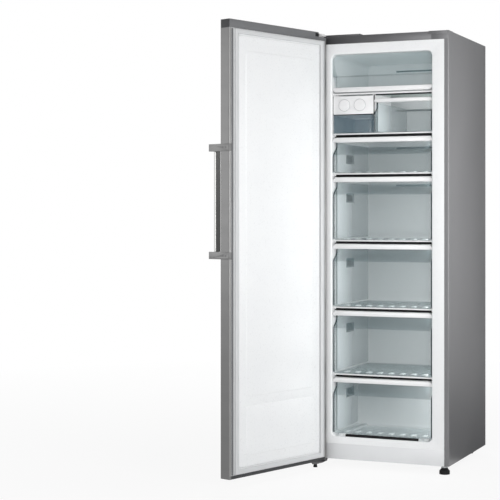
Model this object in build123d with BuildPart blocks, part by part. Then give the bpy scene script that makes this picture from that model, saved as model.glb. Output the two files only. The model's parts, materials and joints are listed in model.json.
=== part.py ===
from build123d import *
import math
import os

os.makedirs("parts", exist_ok=True)

# An upright freezer with one door. Millimetres. X to the right seen from the front, Y to the back, Z up.
# The origin is on the floor, at mid width, in the plane of the cabinet's front face.
# The door is drawn shut and then turned to the angle it rests at.

# ---------------------------------------------------------------- driving dimensions

# cabinet walls
cabinet_width = 595.0
cabinet_depth = 588.0
foot_height = 35.0           # floor to the underside of the cabinet
side_wall = 73.5             # outside of the cabinet to the liner opening
top_wall = 78.0
floor_wall = 96.0
rear_wall = 50.0
sheet = 0.8                  # painted steel sheet
shell_corner = 5.0
side_flange = 20.0           # steel return seen beside the white rim
top_band = 34.0              # steel return seen above the white rim
liner_wall = 2.0
opening_corner = 22.0
apron_height = 66.0          # front panel under the liner rim
flat_gap = 0.2               # between sheet pieces that are laid side by side

# what is stacked inside, from the floor of the liner up
floor_rib = 10.0             # ribs under the lowest drawer
floor_rib_width = 24.0
bottom_drawer = 240.0
large_drawer = 268.0
large_drawer_count = 3
shallow_drawer = 152.0
ice_compartment = 159.0
flap_compartment = 167.0
drawer_headroom = 6.0        # drawer top to the shelf trim above
shelf_trim = 12.0            # height a shelf takes with its ledge
shelf_glass = 4.0
shelf_trim_depth = 12.0
trim_face = 5.5              # visible height of a shelf trim
shelf_setback = 14.0         # cabinet front to the shelf trim
shelf_side_gap = 2.0
ledge_reach = 10.0           # liner ledge under the edge of a glass
ledge_height = 8.0

# back of the inside: air duct, evaporator space, machine room below
evaporator_space = 65.0
duct_wall = 3.0
machine_room_depth = 216.0
step_wall = 40.0
step_headroom = 15.0         # liner step to the shelf above it
frame_plate = 1.5
air_slot_width = 180.0
air_slot_height = 8.0
air_slot_drop = 33.0

# drawers
drawer_front = 12.0          # cabinet front to the drawer fronts
drawer_side_gap = 3.0
drawer_back_gap = 10.0
drawer_wall = 2.6
drawer_corner = 9.0
finger_recess = 50.0
recess_depth = 36.0
recess_slope = 30.0          # height over which the front comes forward under the recess
grip_height = 20.0
grip_wall = 4.0
grip_slope = 0.45            # sloped part of a grip's ends, as a share of its height
running_gap = 0.3            # under a sliding piece
handhold_drop = 86.0         # drawer top to the middle of the side handhold
handhold_height = 30.0
handhold_length = 70.0
handhold_back = 215.0

# small drawer, ice maker and ice bin side by side
ice_side_width = 182.0
ice_side_gap = 4.0
small_drawer_drop = 14.0     # shelf underside to the top of the small drawer
small_grip = 14.0
ice_maker_height = 77.0
ice_maker_depth = 234.0
ice_maker_front = 16.0
ice_maker_wall = 2.5
hanger_width = 8.0
knob_radius = 24.0
knob_spacing = 70.0
knob_shift = -6.0            # the knobs sit left of the middle of the housing
knob_thickness = 4.0
knob_shaft = 5.0
tray_width = 60.0
tray_height = 28.0
tray_back_gap = 22.0
tray_rim = 5.5               # height of the rim over the dividers
tray_rows = 6
tray_wall = 2.0
ice_bin_width = 172.0
ice_bin_height = 78.0
ice_bin_depth = 270.0
ice_bin_wall = 2.2

# flap over the top compartment
flap_wall = 3.0
flap_top_gap = 4.0           # flap to the ceiling of the liner
flap_pivot_radius = 4.0
flap_swing_gap = 1.5         # flap edge to the shelf as it swings past

# door
door_thickness = 52.0
gasket_gap = 10.0            # door back to cabinet front
door_over_top = 12.0         # door top above the cabinet top
door_under = 4.0             # door bottom below the cabinet bottom
door_corner = 6.0
door_flange = 10.0
top_cap = 34.0
bottom_cap = 14.0
cap_wall = 2.5
door_liner_wall = 2.0
dyke_inset = 49.5
dyke_rise = 4.0
panel_inset = 89.0
panel_rise = 1.5
panel_corner = 14.0
panel_top_inset = 119.0
panel_bottom_inset = 84.0
panel_split = 332.0          # floor to the middle of the band between the two pressed panels
panel_band = 36.0
gasket_inset = 25.5
gasket_width = 20.0
gasket_squeeze = 0.4         # gasket face to the cabinet when the door is shut
door_rest_angle = 108.5

# door hinges
hinge_inset = 25.0           # door side to the hinge axis
hinge_pin = 5.0
pin_clearance = 0.08
pin_length = 16.0
hinge_plate = 4.0
hinge_arm_left = 6.0
hinge_arm_right = 22.0
hinge_pocket_gap = 1.5
hinge_cover_height = 5.7
hinge_cover_width = 204.0
blank_cover_width = 87.0     # cover over the unused hinge holes on the other side
blank_cover_height = 1.5
hinge_arm_height = 8.5
hinge_pocket_drop = 7.0      # cabinet top to the floor of the pocket in the door's cap
hinge_cover_depth = 64.0
hinge_cover_lip = 12.0
bracket_width = 52.0

# handle
handle_bottom = 902.0
handle_length = 459.0
handle_bar_width = 30.0
handle_bar_thickness = 12.0
handle_bar_inset = 26.0      # door side to the near edge of the bar
handle_standoff = 50.0       # door front to the back of the bar
handle_end = 29.0            # height of each end bracket
handle_post = 13.0
handle_arm = 13.0
strap = 3.0
strap_hook = 12.0
screw_radius = 2.0
screw_head = 3.5
screw_head_height = 1.6
screw_length = 18.0
screw_clearance = 0.3
screw_spacing = 16.0

# display
display_width = 51.0
display_height = 173.0
display_drop = 188.0         # door top to the top of the display
display_glass = 3.0
display_proud = 0.4
display_board = 8.0

# feet and rollers
foot_radius = 22.0
foot_inset_side = 25.5
foot_inset_front = 24.0
foot_stem = 5.0
small_foot_radius = 9.0
small_foot_stem = 4.0
small_foot_offset = 11.5     # hinge axis to the small foot, towards the side
roller_radius = 15.0
roller_width = 22.0
roller_axle = 4.0
roller_inset_side = 57.0
roller_inset_back = 45.0
fork_wall = 3.0

# machine room and fans
compressor_radius = 76.0
compressor_height = 158.0
compressor_inset_side = 129.5  # cabinet side to the compressor's axis
compressor_inset_back = 104.0
mount_height = 12.0
mount_radius = 9.0
mount_spacing_x = 150.0
mount_spacing_y = 90.0
fan_radius = 56.0
fan_hub = 17.0
fan_depth = 18.0
fan_blades = 5
fan_shaft = 2.5
fan_motor_radius = 24.0
fan_motor_length = 30.0
fan_gap = 2.0
condenser_length = 110.0
condenser_depth = 140.0
condenser_rise = 150.0       # cabinet underside to the top of the condenser
condenser_gap = 20.0         # condenser to its fan
control_box_width = 60.0
control_box_rise = 120.0
control_box_inset = 12.0     # cabinet side to the control box
control_box_gap = 25.5       # control box to the condenser
gland_rise = 170.0
gland_inset = 42.0

# ---------------------------------------------------------------- worked-out positions

half_width = cabinet_width / 2
compressor_x = half_width - compressor_inset_side
half_opening = half_width - side_wall
opening_width = 2 * half_opening
opening_bottom = foot_height + floor_wall
drawer_pitch_gap = drawer_headroom + shelf_trim

# the level each drawer or bin stands on, from the lowest up
levels = [opening_bottom + floor_rib]
levels.append(levels[0] + bottom_drawer + drawer_pitch_gap)
for _ in range(large_drawer_count):
    levels.append(levels[-1] + large_drawer + drawer_pitch_gap)
levels.append(levels[-1] + shallow_drawer + drawer_pitch_gap)
ice_level = levels[-1]
flap_level = ice_level + ice_compartment + shelf_trim
levels.append(flap_level)
shelf_levels = levels[1:]
opening_top = flap_level + flap_compartment
opening_height = opening_top - opening_bottom
opening_mid = (opening_top + opening_bottom) / 2
cabinet_top = opening_top + top_wall
apron_top = foot_height + apron_height

liner_depth = cabinet_depth - rear_wall
duct_back = liner_depth - evaporator_space
duct_front = duct_back - duct_wall
machine_front = cabinet_depth - machine_room_depth
step_front = machine_front - step_wall - liner_wall
step_top = levels[1] - shelf_trim - step_headroom
machine_ceiling = step_top - step_wall - liner_wall
shell_inside = half_width - sheet

door_back = -gasket_gap
door_front = door_back - door_thickness
door_top = cabinet_top + door_over_top
door_bottom = foot_height - door_under
door_mid = (door_front + door_back) / 2
hinge_x = -half_width + hinge_inset
hinge_y = door_mid
hinge_axis = Axis((hinge_x, hinge_y, 0), (0, 0, 1))

foot_x = half_width - foot_inset_side
small_foot_x = hinge_x - small_foot_offset
roller_x = half_width - roller_inset_side
roller_y = cabinet_depth - roller_inset_back

left_edge = -half_opening + drawer_side_gap
right_edge = half_opening - drawer_side_gap
ice_maker_right = left_edge + ice_side_width
small_drawer_left = ice_maker_right + ice_side_gap
ice_maker_top = flap_level - shelf_trim
ice_maker_bottom = ice_maker_top - ice_maker_height
knob_z = (ice_maker_top + ice_maker_bottom) / 2
knob_mid = (left_edge + ice_maker_right) / 2 + knob_shift
knob_x = [knob_mid - knob_spacing / 2, knob_mid + knob_spacing / 2]
tray_front = ice_maker_front + ice_maker_wall + 8.0
tray_back = ice_maker_front + ice_maker_depth - tray_back_gap

flap_axis_y = drawer_front + flap_wall + flap_pivot_radius / 2
flap_axis_z = opening_top - opening_corner - flap_pivot_radius
flap_top = opening_top - flap_top_gap
flap_reach = drawer_front + recess_depth + drawer_wall - flap_axis_y
flap_swing = flap_axis_z - flap_level - flap_swing_gap
flap_bottom = flap_axis_z - math.sqrt(flap_swing**2 - flap_reach**2)

handle_right = half_width - handle_bar_inset
handle_left = handle_right - handle_bar_width
bar_back = door_front - handle_standoff
bar_front = bar_back - handle_bar_thickness

coil_mid = machine_front + machine_room_depth / 2


# ---------------------------------------------------------------- helpers

def front_plane(y):
    """An upright plane at y that faces the front: its own x and y are the part's X and Z."""
    return Plane(origin=(0, y, 0), x_dir=(1, 0, 0), z_dir=(0, -1, 0))


def block(x, y, z, mode=Mode.ADD):
    """A box between two values of x, of y and of z, in the piece being built."""
    with Locations(((x[0] + x[1]) / 2, (y[0] + y[1]) / 2, (z[0] + z[1]) / 2)):
        Box(x[1] - x[0], y[1] - y[0], z[1] - z[0], mode=mode)


def upright_rod(x, y, z, radius, mode=Mode.ADD):
    """A cylinder along Z between two heights, in the piece being built."""
    with Locations((x, y, (z[0] + z[1]) / 2)):
        Cylinder(radius, z[1] - z[0], mode=mode)


def deep_rod(x, y, z, radius, mode=Mode.ADD):
    """A cylinder along Y between two depths, in the piece being built."""
    with Locations((x, (y[0] + y[1]) / 2, z)):
        Cylinder(radius, y[1] - y[0], rotation=(90, 0, 0), mode=mode)


def cross_rod(x, y, z, radius, mode=Mode.ADD):
    """A cylinder along X between two widths, in the piece being built."""
    with Locations(((x[0] + x[1]) / 2, y, z)):
        Cylinder(radius, x[1] - x[0], rotation=(0, 90, 0), mode=mode)


def write(piece, name):
    piece.label = name
    export_step(piece, f"parts/{name}.step")


def write_on_door(piece, name):
    """The door's pieces are drawn shut and written at the angle the door rests at."""
    write(piece.rotate(hinge_axis, -door_rest_angle), name)


# ---------------------------------------------------------------- cabinet

def liner_form(grow):
    """The inside of the liner as a solid, grown by so much on every side but the front."""
    with BuildPart() as form:
        with BuildSketch(front_plane(0)):
            with Locations((0, opening_mid)):
                RectangleRounded(
                    opening_width + 2 * grow, opening_height + 2 * grow, opening_corner + grow
                )
        extrude(amount=-(liner_depth + grow))
        block(
            (-half_width, half_width),
            (step_front + grow, cabinet_depth),
            (0, step_top - grow),
            Mode.SUBTRACT,
        )
    return form.part


with BuildPart() as shell_hollow:
    block((-shell_inside, shell_inside), (sheet, cabinet_depth), (foot_height, cabinet_top - sheet))
    fillet(shell_hollow.edges().filter_by(Axis.Z).group_by(Axis.Y)[0], shell_corner - sheet)

with BuildPart() as cabinet_shell:
    block((-half_width, half_width), (0, cabinet_depth), (foot_height, cabinet_top))
    fillet(cabinet_shell.edges().filter_by(Axis.Z).group_by(Axis.Y)[0], shell_corner)
    add(shell_hollow.part, mode=Mode.SUBTRACT)
    block(
        (side_flange - half_width, half_width - side_flange),
        (0, sheet),
        (foot_height, cabinet_top - top_band),
        Mode.SUBTRACT,
    )
write(cabinet_shell.part, "cabinet_shell")

with BuildPart() as inner_liner:
    rim_half = half_width - side_flange - flat_gap
    block((-rim_half, rim_half), (0, liner_wall), (apron_top, cabinet_top - top_band - flat_gap))
    add(liner_form(liner_wall))
    add(liner_form(0), mode=Mode.SUBTRACT)
    for level in shelf_levels:
        ledge_top = level - shelf_glass
        for side in (-1, 1):
            edge = sorted((side * (half_opening - ledge_reach), side * (half_opening + liner_wall / 2)))
            block(
                edge,
                (shelf_setback + shelf_trim_depth + shelf_side_gap, duct_front - shelf_side_gap),
                (ledge_top - ledge_height, ledge_top),
            )
    for side in (-1, 1):
        rib_edge = half_opening - opening_corner
        rib = sorted((side * rib_edge, side * (rib_edge - floor_rib_width)))
        block(
            rib,
            (drawer_front + opening_corner, step_front),
            (opening_bottom - liner_wall / 2, opening_bottom + floor_rib),
        )
    cross_rod(
        (-half_opening - liner_wall, half_opening + liner_wall),
        flap_axis_y,
        flap_axis_z,
        flap_pivot_radius + pin_clearance,
        Mode.SUBTRACT,
    )
write(inner_liner.part, "inner_liner")

with BuildPart() as front_apron:
    block((-rim_half, rim_half), (0, liner_wall), (foot_height, apron_top))
write(front_apron.part, "front_apron")

with BuildPart() as insulation_foam:
    block(
        (-shell_inside, shell_inside),
        (shell_corner, cabinet_depth - sheet),
        (foot_height + frame_plate, cabinet_top - sheet),
    )
    add(liner_form(liner_wall + running_gap), mode=Mode.SUBTRACT)
    block(
        (-shell_inside, shell_inside),
        (machine_front, cabinet_depth),
        (foot_height, machine_ceiling + frame_plate),
        Mode.SUBTRACT,
    )
write(insulation_foam.part, "insulation_foam")

with BuildPart() as back_panel:
    block(
        (-shell_inside, shell_inside),
        (cabinet_depth - sheet, cabinet_depth),
        (machine_ceiling + frame_plate, cabinet_top - sheet),
    )
write(back_panel.part, "back_panel")

with BuildPart() as base_frame:
    frame_half = shell_inside - flat_gap
    block((-frame_half, frame_half), (shell_corner, cabinet_depth), (foot_height, foot_height + frame_plate))
    block(
        (-frame_half, frame_half),
        (machine_front, machine_front + frame_plate),
        (foot_height, machine_ceiling + frame_plate),
    )
    block(
        (-frame_half, frame_half),
        (machine_front, cabinet_depth - sheet),
        (machine_ceiling, machine_ceiling + frame_plate),
    )
    upright_rod(foot_x, foot_inset_front, (foot_height - 8, foot_height), 2.5 * foot_stem)
    upright_rod(
        foot_x, foot_inset_front, (foot_height - 8, foot_height), foot_stem + pin_clearance, Mode.SUBTRACT
    )
    for side in (-1, 1):
        for cheek in (-1, 1):
            middle = side * roller_x + cheek * (roller_width / 2 + fork_wall)
            block(
                (middle - fork_wall / 2, middle + fork_wall / 2),
                (roller_y - 1.3 * roller_radius, roller_y + 1.3 * roller_radius),
                (roller_radius / 2, foot_height),
            )
        cross_rod(
            (side * roller_x - roller_width / 2 - fork_wall, side * roller_x + roller_width / 2 + fork_wall),
            roller_y,
            roller_radius,
            roller_axle,
        )
write(base_frame.part, "base_frame")

# ---------------------------------------------------------------- feet and rollers

with BuildPart() as foot_right:
    with BuildSketch(Plane.XZ.offset(-foot_inset_front)):
        with BuildLine():
            Polyline(
                (foot_x, 0),
                (foot_x + foot_radius, 0),
                (foot_x + foot_radius, 0.4 * foot_height),
                (foot_x + 0.65 * foot_radius, 0.65 * foot_height),
                (foot_x + 0.65 * foot_radius, foot_height - 8.5),
                (foot_x + foot_stem, foot_height - 8.5),
                (foot_x + foot_stem, foot_height - 0.5),
                (foot_x, foot_height - 0.5),
                close=True,
            )
        make_face()
    revolve(axis=Axis((foot_x, foot_inset_front, 0), (0, 0, 1)))
write(foot_right.part, "foot_right")

bracket_top = door_bottom - 3.0
bracket_bottom = bracket_top - hinge_plate

with BuildPart() as foot_left:
    with BuildSketch(Plane.XZ.offset(-hinge_y)):
        with BuildLine():
            Polyline(
                (small_foot_x, 0),
                (small_foot_x + small_foot_radius, 0),
                (small_foot_x + 0.7 * small_foot_radius, bracket_bottom - 3.0),
                (small_foot_x + small_foot_stem, bracket_bottom - 3.0),
                (small_foot_x + small_foot_stem, bracket_top - 0.5),
                (small_foot_x, bracket_top - 0.5),
                close=True,
            )
        make_face()
    revolve(axis=Axis((small_foot_x, hinge_y, 0), (0, 0, 1)))
write(foot_left.part, "foot_left")

for side, name in ((-1, "roller_left"), (1, "roller_right")):
    with BuildPart() as roller:
        half = roller_width / 2 - 0.5
        cross_rod((side * roller_x - half, side * roller_x + half), roller_y, roller_radius, roller_radius)
        fillet(roller.edges().filter_by(GeomType.CIRCLE), 2.0)
        cross_rod(
            (side * roller_x - half, side * roller_x + half),
            roller_y,
            roller_radius,
            roller_axle + pin_clearance,
            Mode.SUBTRACT,
        )
    write(roller.part, name)

# ---------------------------------------------------------------- hinges

with BuildPart() as top_hinge:
    plate = (cabinet_top, cabinet_top + hinge_plate)
    block((hinge_x - 20, hinge_x + 35), (4, hinge_cover_depth - 2), plate)
    arm = (hinge_x - hinge_arm_left, hinge_x + hinge_arm_right)
    block(arm, (-1.5, 4), plate)
    block(arm, (hinge_y - hinge_arm_left, -1.5), (cabinet_top, cabinet_top + hinge_arm_height))
    upright_rod(hinge_x, hinge_y, (cabinet_top - pin_length, cabinet_top), hinge_pin)
write(top_hinge.part, "top_hinge")

with BuildPart() as hinge_covers:
    wide = (0.5 - half_width, hinge_cover_width - half_width)
    inside = (wide[0] + 1.5, wide[1] - 1.5)
    cover_top = cabinet_top + hinge_cover_height
    block(wide, (0, hinge_cover_depth + 3), (cabinet_top, cover_top))
    block(inside, (1.5, hinge_cover_depth + 1.5), (cabinet_top, cover_top - 1.5), Mode.SUBTRACT)
    blank_left = half_width - blank_cover_width
    blank_top = cabinet_top + blank_cover_height
    block((blank_left, half_width - 0.5), (-1.5, hinge_cover_depth + 3), (cabinet_top, blank_top))
    block(
        (blank_left, half_width - shell_corner - 0.5),
        (-1.5, 0),
        (cabinet_top - hinge_cover_lip, cabinet_top),
    )
    block(
        (hinge_x - hinge_arm_left - 1, hinge_x + hinge_arm_right + 1),
        (-1, 2),
        (cabinet_top, cabinet_top + hinge_plate + 0.5),
        Mode.SUBTRACT,
    )
write(hinge_covers.part, "hinge_covers")

with BuildPart() as bottom_hinge:
    bracket_left = -half_width + 1.5
    with BuildSketch(Plane.YZ.offset(bracket_left)):
        with BuildLine():
            Polyline(
                (door_front + 8, bracket_bottom),
                (hinge_plate, bracket_bottom),
                (hinge_plate, foot_height - hinge_plate),
                (70, foot_height - hinge_plate),
                (70, foot_height),
                (0, foot_height),
                (0, bracket_top),
                (door_front + 8, bracket_top),
                close=True,
            )
        make_face()
    extrude(amount=bracket_width)
    with BuildSketch(front_plane(door_front + 8)):
        with BuildLine():
            Polyline(
                (bracket_left, bracket_bottom),
                (bracket_left + 5, bracket_bottom - 10),
                (bracket_left + 18, bracket_bottom - 10),
                (bracket_left + bracket_width, bracket_bottom),
                close=True,
            )
        make_face()
    extrude(amount=-hinge_plate)
    upright_rod(hinge_x, hinge_y, (bracket_top, bracket_top + pin_length), hinge_pin)
    upright_rod(
        small_foot_x,
        hinge_y,
        (bracket_bottom, bracket_top),
        small_foot_stem + pin_clearance,
        Mode.SUBTRACT,
    )
write(bottom_hinge.part, "bottom_hinge")


# ---------------------------------------------------------------- door

def door_outline(inset):
    """The door's plan outline, drawn so far inside its outer faces."""
    with Locations((0, door_mid)):
        RectangleRounded(
            cabinet_width - 2 * inset, door_thickness - 2 * inset, door_corner - inset
        )


display_top = door_top - display_drop
display_z = (display_top - display_height, display_top)
screw_z = []
for end in (handle_bottom + handle_end / 2, handle_bottom + handle_length - handle_end / 2):
    screw_z.append(end)
screw_y = (door_mid - screw_spacing / 2, door_mid + screw_spacing / 2)


def screw_holes(x, radius, mode):
    """The holes or shanks of the four screws that hold the handle's straps to the door's side."""
    for height in screw_z:
        for depth in screw_y:
            cross_rod(x, depth, height, radius, mode)


with BuildPart() as door_skin:
    with BuildSketch(Plane.XY.offset(door_bottom)):
        door_outline(0)
        door_outline(sheet)
    extrude(amount=door_top - door_bottom)
    with BuildSketch(Plane.XY.offset(door_bottom)):
        door_outline(sheet)
    extrude(amount=door_top - door_bottom, mode=Mode.SUBTRACT)
    block(
        (door_flange - half_width, half_width - door_flange),
        (door_back - sheet, door_back),
        (door_bottom, door_top),
        Mode.SUBTRACT,
    )
    block(
        (-half_width, half_width),
        (door_front + door_corner, door_back),
        (door_top - top_cap, door_top),
        Mode.SUBTRACT,
    )
    block(
        (-display_width / 2 - flat_gap, display_width / 2 + flat_gap),
        (door_front, door_front + sheet),
        (display_z[0] - flat_gap, display_z[1] + flat_gap),
        Mode.SUBTRACT,
    )
    screw_holes((half_width - sheet, half_width), screw_radius + screw_clearance, Mode.SUBTRACT)
write_on_door(door_skin.part, "door_skin")

with BuildPart() as door_top_cap:
    cap_bottom = door_top - top_cap
    with BuildSketch(Plane.XY.offset(cap_bottom)):
        door_outline(sheet + flat_gap)
    extrude(amount=top_cap)
    with BuildSketch(Plane.XY.offset(cap_bottom)):
        door_outline(0)
        with Locations((0, door_front)):
            Rectangle(cabinet_width, 2 * (door_corner + flat_gap), mode=Mode.SUBTRACT)
    extrude(amount=top_cap)
    block(
        (hinge_x + hinge_inset + 12, half_width - 2 * cap_wall),
        (door_front + 2 * cap_wall, door_back - cap_wall),
        (cap_bottom, door_top - cap_wall),
        Mode.SUBTRACT,
    )
    pocket = hinge_arm_right + 2 * hinge_pocket_gap
    block(
        (-half_width, hinge_x + pocket),
        (door_front + sheet + flat_gap + 1.0, door_back),
        (cabinet_top - hinge_pocket_drop, door_top),
        Mode.SUBTRACT,
    )
    upright_rod(
        hinge_x,
        hinge_y,
        (cabinet_top - pin_length - hinge_pocket_gap, door_top),
        hinge_pin + pin_clearance,
        Mode.SUBTRACT,
    )
write_on_door(door_top_cap.part, "door_top_cap")

with BuildPart() as door_bottom_cap:
    with BuildSketch(Plane.XY.offset(door_bottom)):
        door_outline(sheet + flat_gap)
    extrude(amount=bottom_cap)
    upright_rod(
        hinge_x,
        hinge_y,
        (door_bottom, door_bottom + bottom_cap),
        hinge_pin + pin_clearance,
        Mode.SUBTRACT,
    )
write_on_door(door_bottom_cap.part, "door_bottom_cap")

with BuildPart() as door_liner:
    liner_half = half_width - door_flange - flat_gap
    liner_low = door_bottom + bottom_cap
    liner_high = door_top - top_cap
    block((-liner_half, liner_half), (door_back - door_liner_wall, door_back), (liner_low, liner_high))
    dyke_half = half_width - dyke_inset
    dyke_low = liner_low + gasket_width + 6.0
    dyke_high = liner_high - gasket_width - 6.0
    with BuildSketch(front_plane(door_back)):
        with Locations((0, (dyke_low + dyke_high) / 2)):
            RectangleRounded(2 * dyke_half, dyke_high - dyke_low, panel_corner)
    extrude(amount=-dyke_rise)
    panel_width = 2 * (half_width - panel_inset)
    split_low = panel_split - panel_band / 2
    split_high = panel_split + panel_band / 2
    for low, high in (
        (door_bottom + panel_bottom_inset, split_low),
        (split_high, door_top - panel_top_inset),
    ):
        with BuildSketch(front_plane(door_back + dyke_rise)):
            with Locations((0, (low + high) / 2)):
                RectangleRounded(panel_width, high - low, panel_corner)
        extrude(amount=-panel_rise)
write_on_door(door_liner.part, "door_liner")

with BuildPart() as door_foam:
    with BuildSketch(Plane.XY.offset(liner_low)):
        door_outline(sheet + running_gap)
    extrude(amount=liner_high - liner_low)
    block(
        (-liner_half, liner_half),
        (door_back - door_liner_wall, door_back),
        (liner_low, liner_high),
        Mode.SUBTRACT,
    )
    block(
        (-display_width / 2 - 1, display_width / 2 + 1),
        (door_front, door_front - display_proud + display_glass + display_board),
        (display_z[0] - 1, display_z[1] + 1),
        Mode.SUBTRACT,
    )
    screw_holes(
        (half_width - 2 * screw_length, half_width), screw_radius + screw_clearance, Mode.SUBTRACT
    )
write_on_door(door_foam.part, "door_foam")

with BuildPart() as door_gasket:
    # a foot on the door, a narrow bellows and the bulb that holds the magnet strip
    sections = (
        (door_back, 3.0, 0.0),
        (door_back + 3.0, 2.0, 4.0),
        (door_back + 5.0, gasket_gap - 5.0 - gasket_squeeze, 1.0),
    )
    gasket_half = half_width - gasket_inset
    gasket_low = liner_low + 2.0
    gasket_high = liner_high - 2.0
    for start, rise, inset in sections:
        with BuildSketch(front_plane(start)):
            with Locations((0, (gasket_low + gasket_high) / 2)):
                RectangleRounded(
                    2 * (gasket_half - inset), gasket_high - gasket_low - 2 * inset, panel_corner
                )
                RectangleRounded(
                    2 * (gasket_half - gasket_width + inset),
                    gasket_high - gasket_low - 2 * (gasket_width - inset),
                    panel_corner / 2,
                    mode=Mode.SUBTRACT,
                )
        extrude(amount=-rise)
write_on_door(door_gasket.part, "door_gasket")

with BuildPart() as display_window:
    with BuildSketch(front_plane(door_front - display_proud)):
        with Locations((0, sum(display_z) / 2)):
            RectangleRounded(display_width, display_height, 3.0)
    extrude(amount=-display_glass)
write_on_door(display_window.part, "display_window")

with BuildPart() as display_circuit:
    board_front = door_front - display_proud + display_glass
    block(
        (-display_width / 2 + 2, display_width / 2 - 2),
        (board_front, board_front + 1.6),
        (display_z[0] + 2, display_z[1] - 2),
    )
    block(
        (-display_width / 4, display_width / 4),
        (board_front + 1.6, board_front + display_board - 1),
        (display_z[0] + 20, display_z[0] + 50),
    )
write_on_door(display_circuit.part, "display_circuit")

# ---------------------------------------------------------------- handle

bracket_front = bar_front + 2.0

for name, low in (
    ("handle_bracket_lower", handle_bottom),
    ("handle_bracket_upper", handle_bottom + handle_length - handle_end),
):
    with BuildPart() as handle_bracket:
        outer = half_width + strap
        with BuildSketch(Plane.XY.offset(low)):
            with BuildLine():
                Polyline(
                    (handle_right, bracket_front),
                    (outer, bracket_front),
                    (outer, door_back + strap / 2),
                    (half_width - strap_hook, door_back + strap / 2),
                    (half_width - strap_hook, door_back),
                    (half_width, door_back),
                    (half_width, door_front),
                    (half_width - handle_post, door_front),
                    (half_width - handle_post, bracket_front + handle_arm),
                    (handle_right, bracket_front + handle_arm),
                    close=True,
                )
            make_face()
        extrude(amount=handle_end)
        middle = low + handle_end / 2
        for depth in screw_y:
            cross_rod((half_width, outer), depth, middle, screw_radius + screw_clearance, Mode.SUBTRACT)
            cross_rod(
                (outer - screw_head_height, outer), depth, middle, screw_head + 0.1, Mode.SUBTRACT
            )
    write_on_door(handle_bracket.part, name)

with BuildPart() as handle_bar:
    with BuildSketch(Plane.XY.offset(handle_bottom)):
        with Locations(((handle_left + handle_right) / 2, (bar_front + bar_back) / 2)):
            RectangleRounded(handle_bar_width, handle_bar_thickness, 0.35 * handle_bar_thickness)
    extrude(amount=handle_length)
write_on_door(handle_bar.part, "handle_bar")

with BuildPart() as handle_screws:
    screw_holes((outer - screw_head_height, outer - 0.1), screw_head, Mode.ADD)
    screw_holes((outer - screw_length, outer - screw_head_height), screw_radius, Mode.ADD)
write_on_door(handle_screws.part, "handle_screws")

# ---------------------------------------------------------------- shelves and duct

with BuildPart() as shelf_panels:
    for level in shelf_levels:
        block(
            (shelf_side_gap - half_opening, half_opening - shelf_side_gap),
            (shelf_setback + shelf_trim_depth / 2, duct_front - shelf_side_gap),
            (level - shelf_glass, level),
        )
write(shelf_panels.part, "shelf_panels")

with BuildPart() as shelf_trims:
    for level in shelf_levels:
        with BuildSketch(Plane.YZ.offset(shelf_side_gap - half_opening)):
            with BuildLine():
                Polyline(
                    (shelf_setback, level),
                    (shelf_setback, level - trim_face),
                    (shelf_setback + shelf_trim_depth, level - trim_face),
                    (shelf_setback + shelf_trim_depth, level - shelf_glass),
                    (shelf_setback + shelf_trim_depth / 2, level - shelf_glass),
                    (shelf_setback + shelf_trim_depth / 2, level),
                    close=True,
                )
            make_face()
        extrude(amount=opening_width - 2 * shelf_side_gap)
write(shelf_trims.part, "shelf_trims")

with BuildPart() as duct_panel:
    add(liner_form(-running_gap))
    block(
        (-half_opening, half_opening),
        (duct_front, duct_back),
        (step_top + running_gap, opening_top),
        Mode.INTERSECT,
    )
    slot_heights = [opening_top - air_slot_drop]
    for level in shelf_levels[1:]:
        slot_heights.append(level - shelf_trim - air_slot_drop)
    for height in slot_heights:
        block(
            (-air_slot_width / 2, air_slot_width / 2),
            (duct_front, duct_back),
            (height - air_slot_height / 2, height + air_slot_height / 2),
            Mode.SUBTRACT,
        )
write(duct_panel.part, "duct_panel")


# ---------------------------------------------------------------- drawers

def drawer_profile(y, z, grip):
    """The side view of a drawer: a low front that slopes back above its ledge to make room for fingers."""
    setback = y[0] + recess_depth
    ledge = z[1] - grip - finger_recess
    return (
        (y[0], z[0]),
        (y[1], z[0]),
        (y[1], z[1] - grip),
        (setback, z[1] - grip),
        (setback, ledge + recess_slope),
        (y[0], ledge),
    )


def hollow_profile(y, z, grip):
    """The side view of the space in a drawer, one wall inside its outline and open at the top."""
    setback = y[0] + recess_depth + drawer_wall
    lean = recess_slope / recess_depth
    ledge = z[1] - grip - finger_recess - drawer_wall * (math.sqrt(1 + lean**2) - lean)
    return (
        (y[0] + drawer_wall, z[0] + drawer_wall),
        (y[1] - drawer_wall, z[0] + drawer_wall),
        (y[1] - drawer_wall, z[1]),
        (setback, z[1]),
        (setback, ledge + recess_slope),
        (y[0] + drawer_wall, ledge),
    )


def profile_block(x, profile, corner):
    """A side view carried across from one x to another, with its upright corners rounded."""
    with BuildPart() as body:
        with BuildSketch(Plane.YZ.offset(x[0])):
            with BuildLine():
                Polyline(*profile, close=True)
            make_face()
        extrude(amount=x[1] - x[0])
        fillet(body.edges().filter_by(Axis.Z), corner)
        fillet(body.faces().sort_by(Axis.Z)[0].edges(), corner / 2)
    return body.part


def drawer_bin(x, y, z, grip):
    """A clear drawer: stepped front, rounded upright corners, a handhold in each side."""
    inside = (x[0] + drawer_wall, x[1] - drawer_wall)
    with BuildPart() as tub:
        add(profile_block(x, drawer_profile(y, z, grip), drawer_corner))
        add(
            profile_block(inside, hollow_profile(y, z, grip), drawer_corner - drawer_wall),
            mode=Mode.SUBTRACT,
        )
        with BuildSketch(Plane.YZ.offset(x[0])):
            with Locations((handhold_back, z[1] - handhold_drop)):
                RectangleRounded(handhold_length, handhold_height, 0.3 * handhold_height)
        extrude(amount=x[1] - x[0], mode=Mode.SUBTRACT)
    return tub.part


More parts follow.
